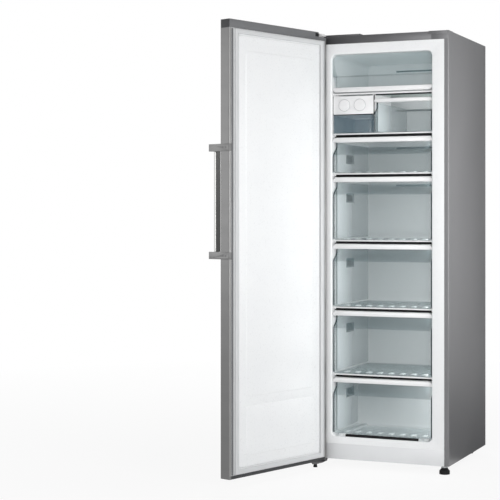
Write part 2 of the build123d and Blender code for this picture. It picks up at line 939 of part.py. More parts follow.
def grip_outline(x, edge, mouth, wall):
    """The front view of a grip strip: sloped at both ends of its closed edge, open at its mouth."""
    up = math.copysign(1.0, edge - mouth)
    slope = grip_slope * abs(edge - mouth) + (math.sqrt(2) - 1) * wall
    return (
        (x[0] + wall, mouth),
        (x[1] - wall, mouth),
        (x[1] - wall, edge - up * slope),
        (x[1] - slope, edge - up * wall),
        (x[0] + slope, edge - up * wall),
        (x[0] + wall, edge - up * slope),
    )


def grip_strip(x, edge, mouth):
    """The strip along a drawer or flap: a lip, a closed edge and a back leg that meets the bin."""
    leg = drawer_front + recess_depth
    with BuildPart() as grip:
        with BuildSketch(front_plane(drawer_front)):
            with BuildLine():
                Polyline(*grip_outline(x, edge, mouth, 0), close=True)
            make_face()
        extrude(amount=drawer_front - leg - drawer_wall)
        with BuildSketch(front_plane(drawer_front + grip_wall)):
            with BuildLine():
                Polyline(*grip_outline(x, edge, mouth, grip_wall), close=True)
            make_face()
        extrude(amount=2 * grip_wall + drawer_front - leg, mode=Mode.SUBTRACT)
    return grip.part


drawer_back = duct_front - drawer_back_gap
drawer_heights = [bottom_drawer] + [large_drawer] * large_drawer_count + [shallow_drawer]
drawer_total = len(drawer_heights)
for index, height in enumerate(drawer_heights):
    number = drawer_total - index
    low = levels[index] + running_gap
    back = drawer_back if index else step_front - drawer_back_gap
    wide = (left_edge, right_edge)
    tall = (low, levels[index] + height)
    write(drawer_bin(wide, (drawer_front, back), tall, grip_height), f"drawer_{number}_bin")
    write(grip_strip(wide, tall[1], tall[1] - grip_height), f"drawer_{number}_grip")

small_top = ice_maker_top - small_drawer_drop
small_wide = (small_drawer_left, right_edge)
small_tall = (ice_level + running_gap, small_top)
write(drawer_bin(small_wide, (drawer_front, drawer_back), small_tall, small_grip), "small_drawer_bin")
write(grip_strip(small_wide, small_top, small_top - small_grip), "small_drawer_grip")

# ---------------------------------------------------------------- ice maker and ice bin

maker_wide = (left_edge, ice_maker_right)
maker_deep = (ice_maker_front, ice_maker_front + ice_maker_depth)

with BuildPart() as ice_maker_housing:
    block(maker_wide, maker_deep, (ice_maker_bottom, ice_maker_top))
    block(
        (maker_wide[0] + ice_maker_wall, maker_wide[1] - ice_maker_wall),
        (maker_deep[0] + ice_maker_wall, maker_deep[1] - ice_maker_wall),
        (ice_maker_bottom, ice_maker_top - ice_maker_wall),
        Mode.SUBTRACT,
    )
    for x in knob_x:
        deep_rod(x, maker_deep, knob_z, knob_shaft + pin_clearance, Mode.SUBTRACT)
    for x in (left_edge + ledge_reach, ice_maker_right - hanger_width):
        block(
            (x, x + hanger_width),
            (shelf_setback + shelf_trim_depth + shelf_side_gap, maker_deep[1]),
            (ice_maker_top, flap_level - shelf_glass),
        )
write(ice_maker_housing.part, "ice_maker_housing")

for x, side in zip(knob_x, ("left", "right")):
    with BuildPart() as ice_tray:
        rim = knob_z + tray_height / 2
        half = tray_width / 2
        block((x - half, x + half), (tray_front, tray_back), (rim - tray_height, rim))
        block(
            (x - half + tray_wall, x + half - tray_wall),
            (tray_front + tray_wall, tray_back - tray_wall),
            (rim - tray_rim, rim),
            Mode.SUBTRACT,
        )
        cell = (tray_back - tray_front) / tray_rows
        for column in (-1, 1):
            for row in range(tray_rows):
                middle = tray_front + (row + 0.5) * cell
                inner = sorted((x + column * tray_wall / 2, x + column * (half - tray_wall)))
                block(
                    inner,
                    (middle - cell / 2 + tray_wall, middle + cell / 2 - tray_wall),
                    (rim - tray_height + tray_wall, rim),
                    Mode.SUBTRACT,
                )
        deep_rod(x, (tray_back, maker_deep[1] - 0.5), knob_z, knob_shaft)
    write(ice_tray.part, f"ice_tray_{side}")
    with BuildPart() as ice_knob:
        face = ice_maker_front - running_gap
        deep_rod(x, (face - knob_thickness, face), knob_z, knob_radius)
        fillet(ice_knob.faces().sort_by(Axis.Y)[0].edges(), 1.5)
        with BuildSketch(front_plane(face - knob_thickness)):
            with Locations((x, knob_z)):
                SlotOverall(1.5 * knob_radius, 0.4 * knob_radius)
        extrude(amount=2.5)
        deep_rod(x, (face, tray_front), knob_z, knob_shaft)
    write(ice_knob.part, f"ice_knob_{side}")

with BuildPart() as ice_bin:
    bin_wide = (left_edge, left_edge + ice_bin_width)
    bin_deep = (ice_maker_front, ice_maker_front + ice_bin_depth)
    bin_tall = (ice_level + running_gap, ice_level + ice_bin_height)
    block(bin_wide, bin_deep, bin_tall)
    fillet(ice_bin.edges().filter_by(Axis.Z), 8.0)
    fillet(ice_bin.faces().sort_by(Axis.Z)[0].edges(), 3.0)
    block(
        (bin_wide[0] + ice_bin_wall, bin_wide[1] - ice_bin_wall),
        (bin_deep[0] + ice_bin_wall, bin_deep[1] - ice_bin_wall),
        (bin_tall[0] + ice_bin_wall, bin_tall[1]),
        Mode.SUBTRACT,
    )
write(ice_bin.part, "ice_bin")

# ---------------------------------------------------------------- flap

flap_wide = (left_edge, right_edge)
flap_ledge = flap_bottom + grip_height + finger_recess
flap_back = drawer_front + recess_depth + drawer_wall

with BuildPart() as flap_panel:
    with BuildSketch(Plane.YZ.offset(flap_wide[0])):
        with BuildLine():
            Polyline(
                (drawer_front, flap_top),
                (drawer_front, flap_ledge - flap_wall),
                (flap_back - flap_wall, flap_ledge - flap_wall),
                (flap_back - flap_wall, flap_bottom + grip_height),
                (flap_back, flap_bottom + grip_height),
                (flap_back, flap_ledge),
                (drawer_front + flap_wall, flap_ledge),
                (drawer_front + flap_wall, flap_top),
                close=True,
            )
        make_face()
    extrude(amount=flap_wide[1] - flap_wide[0])
    ends = flap_panel.edges().filter_by(Axis.Y).group_by(Axis.Z)[-1]
    chamfer(ends, 0.65 * opening_corner)
    for side in (-1, 1):
        barrel = sorted((side * right_edge, side * (right_edge - 20)))
        pin = sorted((side * right_edge, side * (half_opening + liner_wall - 0.5)))
        cross_rod(barrel, flap_axis_y, flap_axis_z, flap_pivot_radius + 1)
        cross_rod(pin, flap_axis_y, flap_axis_z, flap_pivot_radius)
write(flap_panel.part, "flap_panel")

write(grip_strip(flap_wide, flap_bottom, flap_bottom + grip_height), "flap_grip")

# ---------------------------------------------------------------- cooling circuit

def finned_coil(x, y, z, fin_count, row_count, tube, ties):
    """Straight tubes along X in rows, with return ends, pushed through upright fins."""
    with BuildPart() as coil:
        for index in range(fin_count):
            middle = x[0] + (index + 1) * (x[1] - x[0]) / (fin_count + 1)
            block((middle - 0.6, middle + 0.6), y, z)
        row_pitch = (z[1] - z[0]) / row_count
        depths = (y[0] + (y[1] - y[0]) * 0.27, y[0] + (y[1] - y[0]) * 0.73)
        for row in range(row_count):
            height = z[0] + (row + 0.5) * row_pitch
            for depth in depths:
                cross_rod(x, depth, height, tube)
            end = x[row % 2]
            block((end - tube, end + tube), depths, (height - tube, height + tube))
            if row + 1 < row_count:
                other = x[(row + 1) % 2]
                depth = depths[row % 2]
                block(
                    (other - tube, other + tube),
                    (depth - tube, depth + tube),
                    (height, height + row_pitch),
                )
        for side, depth in zip(x, ties):
            low = min(depth, y[0])
            block((side - 1, side + 1), (low, max(depth, y[1])), (z[0], z[0] + row_pitch))
    return coil.part


evaporator_y = (duct_back + 10.0, liner_depth - 12.0)
evaporator_z = (levels[3] + 40.0, levels[3] + 300.0)
evaporator_half = half_opening - 30.0
write(
    finned_coil(
        (-evaporator_half, evaporator_half), evaporator_y, evaporator_z, 15, 5, 4.0, (liner_depth, liner_depth)
    ),
    "evaporator",
)

with BuildPart() as defrost_heater:
    heater_z = evaporator_z[0] - 24.0
    heater_y = sum(evaporator_y) / 2
    heater_half = evaporator_half - 20.0
    for row in (-8.0, 8.0):
        cross_rod((-heater_half, heater_half), heater_y, heater_z + row, 3.2)
    block((heater_half - 6, heater_half), (heater_y - 3, heater_y + 3), (heater_z - 8, heater_z + 8))
    for side in (-1, 1):
        block(
            (side * heater_half * 0.8 - 3, side * heater_half * 0.8 + 3),
            (heater_y - 4, liner_depth),
            (heater_z - 11, heater_z + 11),
        )
write(defrost_heater.part, "defrost_heater")

# compressor on four rubber mounts
compressor_y = cabinet_depth - compressor_inset_back
mount_top = foot_height + frame_plate + mount_height

with BuildPart() as compressor_mounts:
    with BuildSketch(Plane.XY.offset(foot_height + frame_plate)):
        with Locations((compressor_x, compressor_y)):
            with GridLocations(mount_spacing_x, mount_spacing_y, 2, 2):
                Circle(mount_radius)
    extrude(amount=mount_height)
write(compressor_mounts.part, "compressor_mounts")

with BuildPart() as compressor:
    foot_plate = (mount_top, mount_top + 4.0)
    block(
        (compressor_x - mount_spacing_x / 2 - 14, compressor_x + mount_spacing_x / 2 + 14),
        (compressor_y - mount_spacing_y / 2 - 12, compressor_y + mount_spacing_y / 2 + 12),
        foot_plate,
    )
    base = foot_plate[0]
    top = base + compressor_height
    r = compressor_radius
    with BuildSketch(Plane.XZ.offset(-compressor_y)):
        with BuildLine():
            Line((compressor_x, base), (compressor_x + 0.6 * r, base))
            ThreePointArc(
                (compressor_x + 0.6 * r, base),
                (compressor_x + 0.9 * r, base + 0.15 * r),
                (compressor_x + r - 3, base + 0.5 * r),
            )
            Polyline(
                (compressor_x + r - 3, base + 0.5 * r),
                (compressor_x + r - 3, base + 1.0 * r),
                (compressor_x + r, base + 1.0 * r),
                (compressor_x + r, base + 1.1 * r),
                (compressor_x + r - 3, base + 1.1 * r),
                (compressor_x + r - 3, base + 1.4 * r),
            )
            ThreePointArc(
                (compressor_x + r - 3, base + 1.4 * r),
                (compressor_x + 0.78 * r, top - 0.18 * r),
                (compressor_x + 0.4 * r, top),
            )
            Line((compressor_x + 0.4 * r, top), (compressor_x, top))
            Line((compressor_x, top), (compressor_x, base))
        make_face()
    revolve(axis=Axis((compressor_x, compressor_y, 0), (0, 0, 1)))
write(compressor.part, "compressor")

with BuildPart() as drip_tray:
    tray_low = top
    block(
        (compressor_x - 80, compressor_x + 80), (compressor_y - 70, compressor_y + 70), (tray_low, tray_low + 32)
    )
    block(
        (compressor_x - 77.5, compressor_x + 77.5),
        (compressor_y - 67.5, compressor_y + 67.5),
        (tray_low + 2.5, tray_low + 32),
        Mode.SUBTRACT,
    )
write(drip_tray.part, "drip_tray")

control_x = (-half_width + control_box_inset, -half_width + control_box_inset + control_box_width)
condenser_x = (control_x[1] + control_box_gap, control_x[1] + control_box_gap + condenser_length)
condenser_z = (foot_height + frame_plate, foot_height + condenser_rise)
write(
    finned_coil(
        condenser_x,
        (coil_mid - condenser_depth / 2, coil_mid + condenser_depth / 2),
        condenser_z,
        11,
        4,
        4.0,
        (coil_mid, coil_mid),
    ),
    "condenser",
)

fan_z = foot_height + frame_plate + fan_radius + 12.0
fan_x = (condenser_x[1] + condenser_gap, condenser_x[1] + condenser_gap + fan_depth)
motor_x = (fan_x[1] + fan_gap, fan_x[1] + fan_gap + fan_motor_length)
air_fan_z = ice_level + 0.4 * ice_compartment
motor_y = (liner_depth - fan_motor_length, liner_depth)
air_fan_y = (motor_y[0] - fan_gap - fan_depth, motor_y[0] - fan_gap)

with BuildPart() as fan_motors:
    cross_rod(motor_x, coil_mid, fan_z, fan_motor_radius)
    cross_rod((fan_x[0], motor_x[0]), coil_mid, fan_z, fan_shaft)
    block(
        (motor_x[0] + 6, motor_x[1] - 6),
        (coil_mid - fan_motor_radius, coil_mid + fan_motor_radius),
        (foot_height + frame_plate, fan_z),
    )
    deep_rod(0, motor_y, air_fan_z, fan_motor_radius)
    deep_rod(0, (air_fan_y[0], motor_y[0]), air_fan_z, fan_shaft)
write(fan_motors.part, "fan_motors")


def fan_rotor():
    """An axial fan about Z, standing on the XY plane: a bored hub and pitched blades."""
    with BuildPart() as rotor:
        Cylinder(fan_hub, fan_depth, align=(Align.CENTER, Align.CENTER, Align.MIN))
        with PolarLocations((fan_hub + fan_radius) / 2 - 1, fan_blades):
            with Locations(Location((0, 0, fan_depth / 2), (35, 0, 0))):
                Box(fan_radius - fan_hub + 2, 0.42 * fan_radius, 2.0)
        Cylinder(
            fan_shaft + pin_clearance,
            fan_depth,
            align=(Align.CENTER, Align.CENTER, Align.MIN),
            mode=Mode.SUBTRACT,
        )
    return rotor.part


evaporator_fan = fan_rotor().moved(Location((0, air_fan_y[1], air_fan_z), (90, 0, 0)))
write(evaporator_fan, "evaporator_fan")
condenser_fan = fan_rotor().moved(Location((fan_x[0], coil_mid, fan_z), (0, 90, 0)))
write(condenser_fan, "condenser_fan")

with BuildPart() as control_box:
    block(
        control_x,
        (coil_mid - 50, coil_mid + 60),
        (foot_height + frame_plate, foot_height + control_box_rise),
    )
    fillet(control_box.edges().filter_by(Axis.Z), 5.0)
write(control_box.part, "control_box")

gland_x = -half_width + gland_inset
gland_z = foot_height + gland_rise
gland_radius = 9.0

with BuildPart() as rear_cover:
    block(
        (-shell_inside + flat_gap, shell_inside - flat_gap),
        (cabinet_depth - 2.0, cabinet_depth),
        (foot_height + frame_plate, machine_ceiling),
    )
    with BuildSketch(front_plane(cabinet_depth - 2.0)):
        with Locations((40, foot_height + 0.5 * (machine_ceiling - foot_height))):
            with GridLocations(95, 16, 4, 12):
                SlotOverall(80, 6)
    extrude(amount=-2.0, mode=Mode.SUBTRACT)
    deep_rod(gland_x, (cabinet_depth - 2.0, cabinet_depth), gland_z, gland_radius, Mode.SUBTRACT)
write(rear_cover.part, "rear_cover")

with BuildPart() as cable_gland:
    deep_rod(gland_x, (cabinet_depth - 12, cabinet_depth + 6), gland_z, gland_radius - 0.1)
    deep_rod(gland_x, (cabinet_depth - 12, cabinet_depth - 2), gland_z, gland_radius + 3)
    deep_rod(gland_x, (cabinet_depth, cabinet_depth + 3), gland_z, gland_radius + 3)
    deep_rod(gland_x, (cabinet_depth - 12, cabinet_depth + 6), gland_z, 4.0, Mode.SUBTRACT)
write(cable_gland.part, "cable_gland")
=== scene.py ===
import json
import math

import bmesh
import bpy
from mathutils import Matrix, Vector


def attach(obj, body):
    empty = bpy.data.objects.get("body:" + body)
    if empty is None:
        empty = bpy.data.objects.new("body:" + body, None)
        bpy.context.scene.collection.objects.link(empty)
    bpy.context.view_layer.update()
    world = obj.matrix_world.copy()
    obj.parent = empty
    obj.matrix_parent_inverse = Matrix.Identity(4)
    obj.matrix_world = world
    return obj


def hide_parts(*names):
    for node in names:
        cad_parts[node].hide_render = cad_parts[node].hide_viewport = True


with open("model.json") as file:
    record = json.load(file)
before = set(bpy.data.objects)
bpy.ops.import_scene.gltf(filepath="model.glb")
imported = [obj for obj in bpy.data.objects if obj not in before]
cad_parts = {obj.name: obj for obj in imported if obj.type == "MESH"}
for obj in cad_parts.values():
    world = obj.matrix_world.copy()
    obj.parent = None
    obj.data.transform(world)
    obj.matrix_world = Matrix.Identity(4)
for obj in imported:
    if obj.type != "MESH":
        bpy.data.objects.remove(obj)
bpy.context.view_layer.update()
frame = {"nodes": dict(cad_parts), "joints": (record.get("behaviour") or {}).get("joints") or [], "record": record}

# ---------------- sizes, in millimetres, as in the solids

MM = 0.001

# the liner's opening, its rim, and its step over the machine room
OPENING_HALF = 224.0
OPENING_LOW = 131.0
OPENING_HIGH = 1765.0
OPENING_CORNER = 22.0
RIM_HALF = 277.3
RIM_LOW = 101.0
RIM_HIGH = 1808.8
RIM_LIP = 4.0
LINER_DEPTH = 538.0
STEP_FRONT = 330.0
STEP_TOP = 372.0
SHELF_LEVELS = (399.0, 685.0, 971.0, 1257.0, 1427.0, 1598.0)
SHELF_BUILD = 12.0
DUCT_FRONT = 470.0
AIR_SLOT_DROP = 33.0
BAND_LOW = 1810.0
BAND_HIGH = 1842.4

DRAWER_FRONT = 12.0
DRAWER_SIDE = 221.0
DRAWER_WALL = 2.6
DRAWER_CORNER = 9.0
DRAWER_CLEARANCE = 0.3
TALL_DRAWER = 268.0
# each wide drawer, from the lowest: its level and its height
DRAWERS = {
    5: (141.0, 240.0),
    4: (SHELF_LEVELS[0], TALL_DRAWER),
    3: (SHELF_LEVELS[1], TALL_DRAWER),
    2: (SHELF_LEVELS[2], TALL_DRAWER),
    1: (SHELF_LEVELS[3], 152.0),
}
GRIP_HEIGHT = 20.0
SMALL_DRAWER_LEFT = -35.0
SMALL_DRAWER_HEIGHT = 145.0
SMALL_GRIP_HEIGHT = 14.0
# the recess over a drawer's ledge: the front leans back over the slope, rounded off past both its ends
RECESS_DEPTH = 36.0
RECESS_HEIGHT = 50.0
RECESS_SLOPE = 30.0
RECESS_ROUNDING = 4.0
SLOPE_STEPS = 12
# a drawer's handholds: their middle, from the cabinet's front and below the drawer's top, and half sizes
HANDHOLD_BACK = 215.0
HANDHOLD_DROP = 86.0
HANDHOLD_HALF_LENGTH = 35.0
HANDHOLD_HALF_HEIGHT = 15.0
PAD_PITCH = 50.0

KNOB_MIDDLES = (-171.0, -101.0)
KNOB_HEIGHT = 1547.5
KNOB_RADIUS = 24.6
HOUSING_FACE = 16.0

DOOR_HALF = 297.5
DOOR_FRONT = -62.0
DOOR_BACK = -10.0
DOOR_TOP = 1855.0
DOOR_LINER_HALF = 287.3
DOOR_LINER_LOW = 45.0
DOOR_LINER_HIGH = 1821.0
GASKET_HALF = 272.0
GASKET_LOW = 47.0
GASKET_HIGH = 1819.0
POCKET_LEFT = -297.0
POCKET_RIGHT = -248.0
POCKET_FRONT = -59.8
POCKET_FLOOR = 1835.8
POCKET_TOP = 1854.4
GLASS_FACE = DOOR_FRONT - 0.4

swing = next(j for j in frame["joints"] if j["name"] == "door_swing")
hinge_point = Vector(swing["pos_m"])
REST_ANGLE = math.radians(-swing["range_deg"][0])
# door pieces are drawn shut and turned to the angle the door rests at
OPENED = (
    Matrix.Translation(hinge_point)
    @ Matrix.Rotation(-REST_ANGLE, 4, "Z")
    @ Matrix.Translation(-hinge_point)
)


# ---------------- material tools

# nearly all of a noise lies between these two numbers
NOISE_SPAN = {"From Min": 0.3, "From Max": 0.7}
# the Mix node's colour sockets, which share their names with its number sockets
MIX_A, MIX_B, MIXED = 6, 7, 2


def linear(hex_colour):
    """An sRGB hex colour as linear RGBA."""
    channels = [int(hex_colour[i : i + 2], 16) / 255 for i in (1, 3, 5)]
    return [c / 12.92 if c <= 0.04045 else ((c + 0.055) / 1.055) ** 2.4 for c in channels] + [1.0]


def every_mm(size):
    """The scale of a pattern whose features are about so many millimetres."""
    return 1.0 / (size * MM)


def add(tree, kind, inputs=None, **settings):
    """Adds one shader node; an input is a value, a hex colour, a socket or a node's first output."""
    made = tree.nodes.new("ShaderNode" + kind)
    for name, value in settings.items():
        setattr(made, name, value)
    for name, value in (inputs or {}).items():
        if isinstance(value, str):
            value = linear(value)
        if isinstance(value, bpy.types.Node):
            value = value.outputs[0]
        if isinstance(value, bpy.types.NodeSocket):
            tree.links.new(value, made.inputs[name])
        else:
            made.inputs[name].default_value = value
    return made


def blank(name):
    """An empty material: returns it, its node tree and its object coordinates."""
    material = bpy.data.materials.new(name)
    material.use_nodes = True
    tree = material.node_tree
    tree.nodes.clear()
    return material, tree, add(tree, "TexCoord").outputs["Object"]


def lay_on(tree, inputs):
    """Closes a finish: one Principled shader with these inputs, out to the surface."""
    shader = add(tree, "BsdfPrincipled", inputs)
    add(tree, "OutputMaterial", {"Surface": shader})


def moulded(name, pale, dark, roughness, grain_mm=1.2, relief_mm=0.02, specular=0.5):
    """A moulded or painted skin: a fine grain in its gloss and a faint unevenness in its colour."""
    material, tree, place = blank(name)
    cloud = add(tree, "TexNoise", {"Vector": place, "Scale": every_mm(90.0), "Detail": 2.0})
    fine = add(tree, "TexNoise", {"Vector": place, "Scale": every_mm(grain_mm), "Detail": 4.0})
    tone = add(tree, "Mix", {"Factor": cloud, MIX_A: pale, MIX_B: dark}, data_type="RGBA")
    sheen = add(
        tree, "MapRange",
        {"Value": fine, **NOISE_SPAN, "To Min": roughness - 0.05, "To Max": roughness + 0.06},
    )
    bumps = add(tree, "Bump", {"Height": fine, "Distance": relief_mm * MM, "Strength": 0.6})
    lay_on(tree, {
        "Base Color": tone.outputs[MIXED], "Roughness": sheen, "Normal": bumps,
        "Specular IOR Level": specular,
    })
    return material


def clear_moulding(name, tint, edge, facing, grazing, roughness=0.06):
    """Clear plastic or glass: seen through face on, while its rims and corners draw dark lines."""
    material, tree, place = blank(name)
    turned = add(tree, "LayerWeight", {"Blend": 0.35}).outputs["Facing"]
    rim = add(tree, "MapRange", {"Value": turned, "From Min": 0.55, "From Max": 0.95})
    scale = (every_mm(40.0), every_mm(40.0), every_mm(160.0))
    upright = add(tree, "Mapping", {"Vector": place, "Scale": scale})
    cloud = add(tree, "TexNoise", {"Vector": upright, "Scale": 1.0, "Detail": 2.0})
    tone = add(tree, "Mix", {"Factor": rim, MIX_A: tint, MIX_B: edge}, data_type="RGBA")
    cover = add(tree, "MapRange", {"Value": rim, "To Min": facing, "To Max": grazing})
    sheen = add(
        tree, "MapRange",
        {"Value": cloud, **NOISE_SPAN, "To Min": roughness, "To Max": roughness + 0.05},
    )
    ripple = add(tree, "Bump", {"Height": cloud, "Distance": 0.25 * MM, "Strength": 0.35})
    lay_on(tree, {
        "Base Color": tone.outputs[MIXED], "Alpha": cover, "Roughness": sheen, "Normal": ripple,
        "IOR": 1.58,
    })
    return material


def brushed(name, pale, dark, roughness, line_mm, along_mm=220.0):
    """Brushed metal: long fine scratches that run level, over broad level bands."""
    material, tree, place = blank(name)
    scale = (every_mm(along_mm), every_mm(along_mm), every_mm(line_mm))
    drawn_out = add(tree, "Mapping", {"Vector": place, "Scale": scale})
    lines = add(
        tree, "TexNoise", {"Vector": drawn_out, "Scale": 1.0, "Detail": 3.0, "Roughness": 0.7}
    )
    scale = (every_mm(500.0), every_mm(500.0), every_mm(60.0))
    flattened = add(tree, "Mapping", {"Vector": place, "Scale": scale})
    bands = add(tree, "TexNoise", {"Vector": flattened, "Scale": 1.0, "Detail": 2.0})
    both = add(tree, "Math", {0: lines, 1: bands, 2: 0.25}, operation="MULTIPLY_ADD")
    tone = add(tree, "Mix", {"Factor": both, MIX_A: dark, MIX_B: pale}, data_type="RGBA")
    sheen = add(
        tree, "MapRange",
        {"Value": lines, **NOISE_SPAN, "To Min": roughness - 0.06, "To Max": roughness + 0.08},
    )
    scratches = add(tree, "Bump", {"Height": lines, "Distance": 0.02 * MM, "Strength": 0.35})
    lay_on(tree, {
        "Base Color": tone.outputs[MIXED], "Roughness": sheen, "Normal": scratches, "Metallic": 1.0,
    })
    return material


# ---------------- the finishes

# 430 stainless sheet, belt-brushed level: fine level lines with broad soft bands under them
stainless = brushed("brushed_stainless_sheet", "#7e7e7e", "#6c6c6c", 0.36, 1.1)
# polished stainless tube and screws: glossy with almost no grain, so that they mirror the room
polished = brushed("polished_stainless_tube", "#a9a9a8", "#989897", 0.16, 2.2)
# cast zinc, satin plated: darker than the sheet, with a soft gloss
satin_zinc = brushed("satin_plated_zinc", "#6f6f70", "#5d5d5f", 0.38, 1.6, 60.0)
# the folded edge of the door's steel: paler than the flat sheet, a painted highlight along the bend
folded_steel_painted_highlight = brushed("folded_edge_painted_highlight", "#9c9c9b", "#90908f", 0.4, 1.1)


def coated_sheet():
    """Pre-coated silver sheet: metal flake in a satin paint, drawn coarser than real so that it shows."""
    material, tree, place = blank("silver_precoated_sheet")
    flake = add(tree, "TexVoronoi", {"Vector": place, "Scale": every_mm(1.1111)})
    scale = (every_mm(300.0), every_mm(300.0), every_mm(500.0))
    upright = add(tree, "Mapping", {"Vector": place, "Scale": scale})
    cloud = add(tree, "TexNoise", {"Vector": upright, "Scale": 1.0, "Detail": 2.0})
    peel = add(tree, "TexNoise", {"Vector": place, "Scale": every_mm(1.6), "Detail": 3.0})
    fleck = add(tree, "Math", {0: flake.outputs["Distance"], 1: cloud}, operation="MULTIPLY")
    tone = add(tree, "Mix", {"Factor": fleck, MIX_A: "#727274", MIX_B: "#7c7c7d"}, data_type="RGBA")
    sheen = add(tree, "MapRange", {"Value": cloud, **NOISE_SPAN, "To Min": 0.34, "To Max": 0.42})
    bumps = add(tree, "Bump", {"Height": peel, "Distance": 0.02 * MM, "Strength": 0.4})
    lay_on(tree, {
        "Base Color": tone.outputs[MIXED], "Roughness": sheen, "Normal": bumps, "Metallic": 0.15,
    })
    return material


def anthracite_strip_painted_shade():
    """Satin anthracite paint with metal flake, with painted shade: dark at the strip's left end, paling slowly
    towards its right end.
    """
    material, tree, place = blank("anthracite_strip_with_painted_shade")
    across = add(tree, "SeparateXYZ", {"Vector": place}).outputs["X"]
    cloud = add(tree, "TexNoise", {"Vector": place, "Scale": every_mm(60.0), "Detail": 2.0})
    painted_shade_ramp = add(tree, "Math", {0: cloud, 1: 0.12, 2: across}, operation="MULTIPLY_ADD")
    share = add(tree, "MapRange", {"Value": painted_shade_ramp, "From Min": -0.24, "From Max": 0.36})
    tone = add(tree, "Mix", {"Factor": share, MIX_A: "#343436", MIX_B: "#6a6a6c"}, data_type="RGBA")
    sheen = add(tree, "MapRange", {"Value": cloud, **NOISE_SPAN, "To Min": 0.36, "To Max": 0.44})
    lay_on(tree, {"Base Color": tone.outputs[MIXED], "Roughness": sheen, "Metallic": 0.2})
    return material


def side_wall_painted_light():
    """Clear polystyrene sheet with painted light: pale and dense near the drawer's front, where the light falls,
    clearer further back.
    """
    material, tree, place = blank("side_wall_painted_light_sheet")
    depth = add(tree, "SeparateXYZ", {"Vector": place}).outputs["Y"]
    scale = (every_mm(60.0), every_mm(60.0), every_mm(160.0))
    upright = add(tree, "Mapping", {"Vector": place, "Scale": scale})
    cloud = add(tree, "TexNoise", {"Vector": upright, "Scale": 1.0, "Detail": 2.0})
    painted_light_cover = add(tree, "MapRange", {
        "Value": depth, "From Min": 0.03, "From Max": 0.24, "To Min": 0.92, "To Max": 0.26,
    })
    tone = add(tree, "Mix", {"Factor": cloud, MIX_A: "#f0f6f8", MIX_B: "#e6eff2"}, data_type="RGBA")
    sheen = add(tree, "MapRange", {"Value": cloud, **NOISE_SPAN, "To Min": 0.3, "To Max": 0.4})
    lay_on(tree, {
        "Base Color": tone.outputs[MIXED], "Alpha": painted_light_cover, "Roughness": sheen, "IOR": 1.58,
    })
    return material


def galvanised():
    """Hot-dip galvanised sheet: dull crystals of zinc in slightly different greys."""
    material, tree, place = blank("galvanised_sheet")
    crystals = add(tree, "TexVoronoi", {"Vector": place, "Scale": every_mm(6.25)})
    grey = add(tree, "SeparateColor", {0: crystals.outputs["Color"]})
    tone = add(tree, "Mix", {"Factor": grey, MIX_A: "#9fa2a3", MIX_B: "#a5a8a9"}, data_type="RGBA")
    sheen = add(tree, "MapRange", {"Value": grey.outputs[1], "To Min": 0.42, "To Max": 0.48})
    bumps = add(tree, "Bump", {
        "Height": crystals.outputs["Distance"], "Distance": 0.02 * MM, "Strength": 0.3,
    })
    lay_on(tree, {
        "Base Color": tone.outputs[MIXED], "Roughness": sheen, "Normal": bumps, "Metallic": 0.8,
    })
    return material


def fin_stock():
    """Aluminium fin stock: bright, with the frost-like blotches of a used coil."""
    material, tree, place = blank("aluminium_fin_stock")
    blotch = add(tree, "TexNoise", {"Vector": place, "Scale": every_mm(12.0), "Detail": 3.0})
    tone = add(tree, "Mix", {"Factor": blotch, MIX_A: "#b9bcbe", MIX_B: "#d3d5d6"}, data_type="RGBA")
    sheen = add(tree, "MapRange", {"Value": blotch, **NOISE_SPAN, "To Min": 0.25, "To Max": 0.45})
    lay_on(tree, {"Base Color": tone.outputs[MIXED], "Roughness": sheen, "Metallic": 1.0})
    return material


def black_window():
    """Black-backed glass over the display: deep black with a hard clear gloss."""
    material, tree, place = blank("black_backed_glass")
    cloud = add(tree, "TexNoise", {"Vector": place, "Scale": every_mm(60.0), "Detail": 3.0})
    tone = add(tree, "Mix", {"Factor": cloud, MIX_A: "#060608", MIX_B: "#0a0a0e"}, data_type="RGBA")
    sheen = add(tree, "MapRange", {"Value": cloud, **NOISE_SPAN, "To Min": 0.05, "To Max": 0.09})
    lay_on(tree, {"Base Color": tone.outputs[MIXED], "Roughness": sheen, "IOR": 1.5})
    return material


def lit_mark(name, colour, glow):
    """A lit mark behind the display glass: an even light with a faint texture of its diffuser."""
    material, tree, place = blank(name)
    cloud = add(tree, "TexNoise", {"Vector": place, "Scale": every_mm(1.5), "Detail": 3.0})
    tone = add(tree, "Mix", {"Factor": cloud, MIX_A: colour, MIX_B: "#ffffff"}, data_type="RGBA")
    lay_on(tree, {
        "Base Color": tone.outputs[MIXED], "Emission Color": tone.outputs[MIXED],
        "Emission Strength": glow, "Roughness": 0.4,
    })
    return material


coated = coated_sheet()
band_paint_with_painted_shade = anthracite_strip_painted_shade()
# vacuum-formed high-impact polystyrene: glossy white with a slow unevenness from the forming
liner_white = moulded("vacuum_formed_polystyrene", "#f6f7f7", "#f2f3f4", 0.3, 6.0, 0.006)
# white ABS mouldings: grips, trims, ice maker
abs_white = moulded("white_abs", "#f3f3f3", "#ececed", 0.36, 1.4, 0.015)
# white stove enamel on the top hinge: a pale wedge against the painted black shade of its pocket
hinge_enamel = moulded("white_stove_enamel", "#f2f2f1", "#ebebea", 0.35, 1.8, 0.01)
# painted sheet under the rim: a shade greyer and duller than the liner above it
apron_paint = moulded("painted_apron_sheet", "#e8e9ea", "#e3e4e5", 0.38, 1.8, 0.02)
# the door caps' ABS: dark and matt beside the steel
cap_grey = moulded("grey_abs_cap", "#353638", "#303133", 0.56, 1.0, 0.02)
# the top cap's inner face: the cap's grey drawn paler, as painted light
cap_painted_light = moulded("cap_inner_painted_light", "#6f7072", "#68696b", 0.45, 1.0, 0.02)
# extruded soft PVC: pale, dull and a little waxy
pvc_gasket = moulded("soft_pvc_gasket", "#dadbdc", "#d0d1d2", 0.6, 2.0, 0.03)
# the channel round the gasket's foot, a shade darker than the gasket
channel_grey = moulded("gasket_channel_pvc", "#b4b5b6", "#acadae", 0.55, 2.0, 0.02)
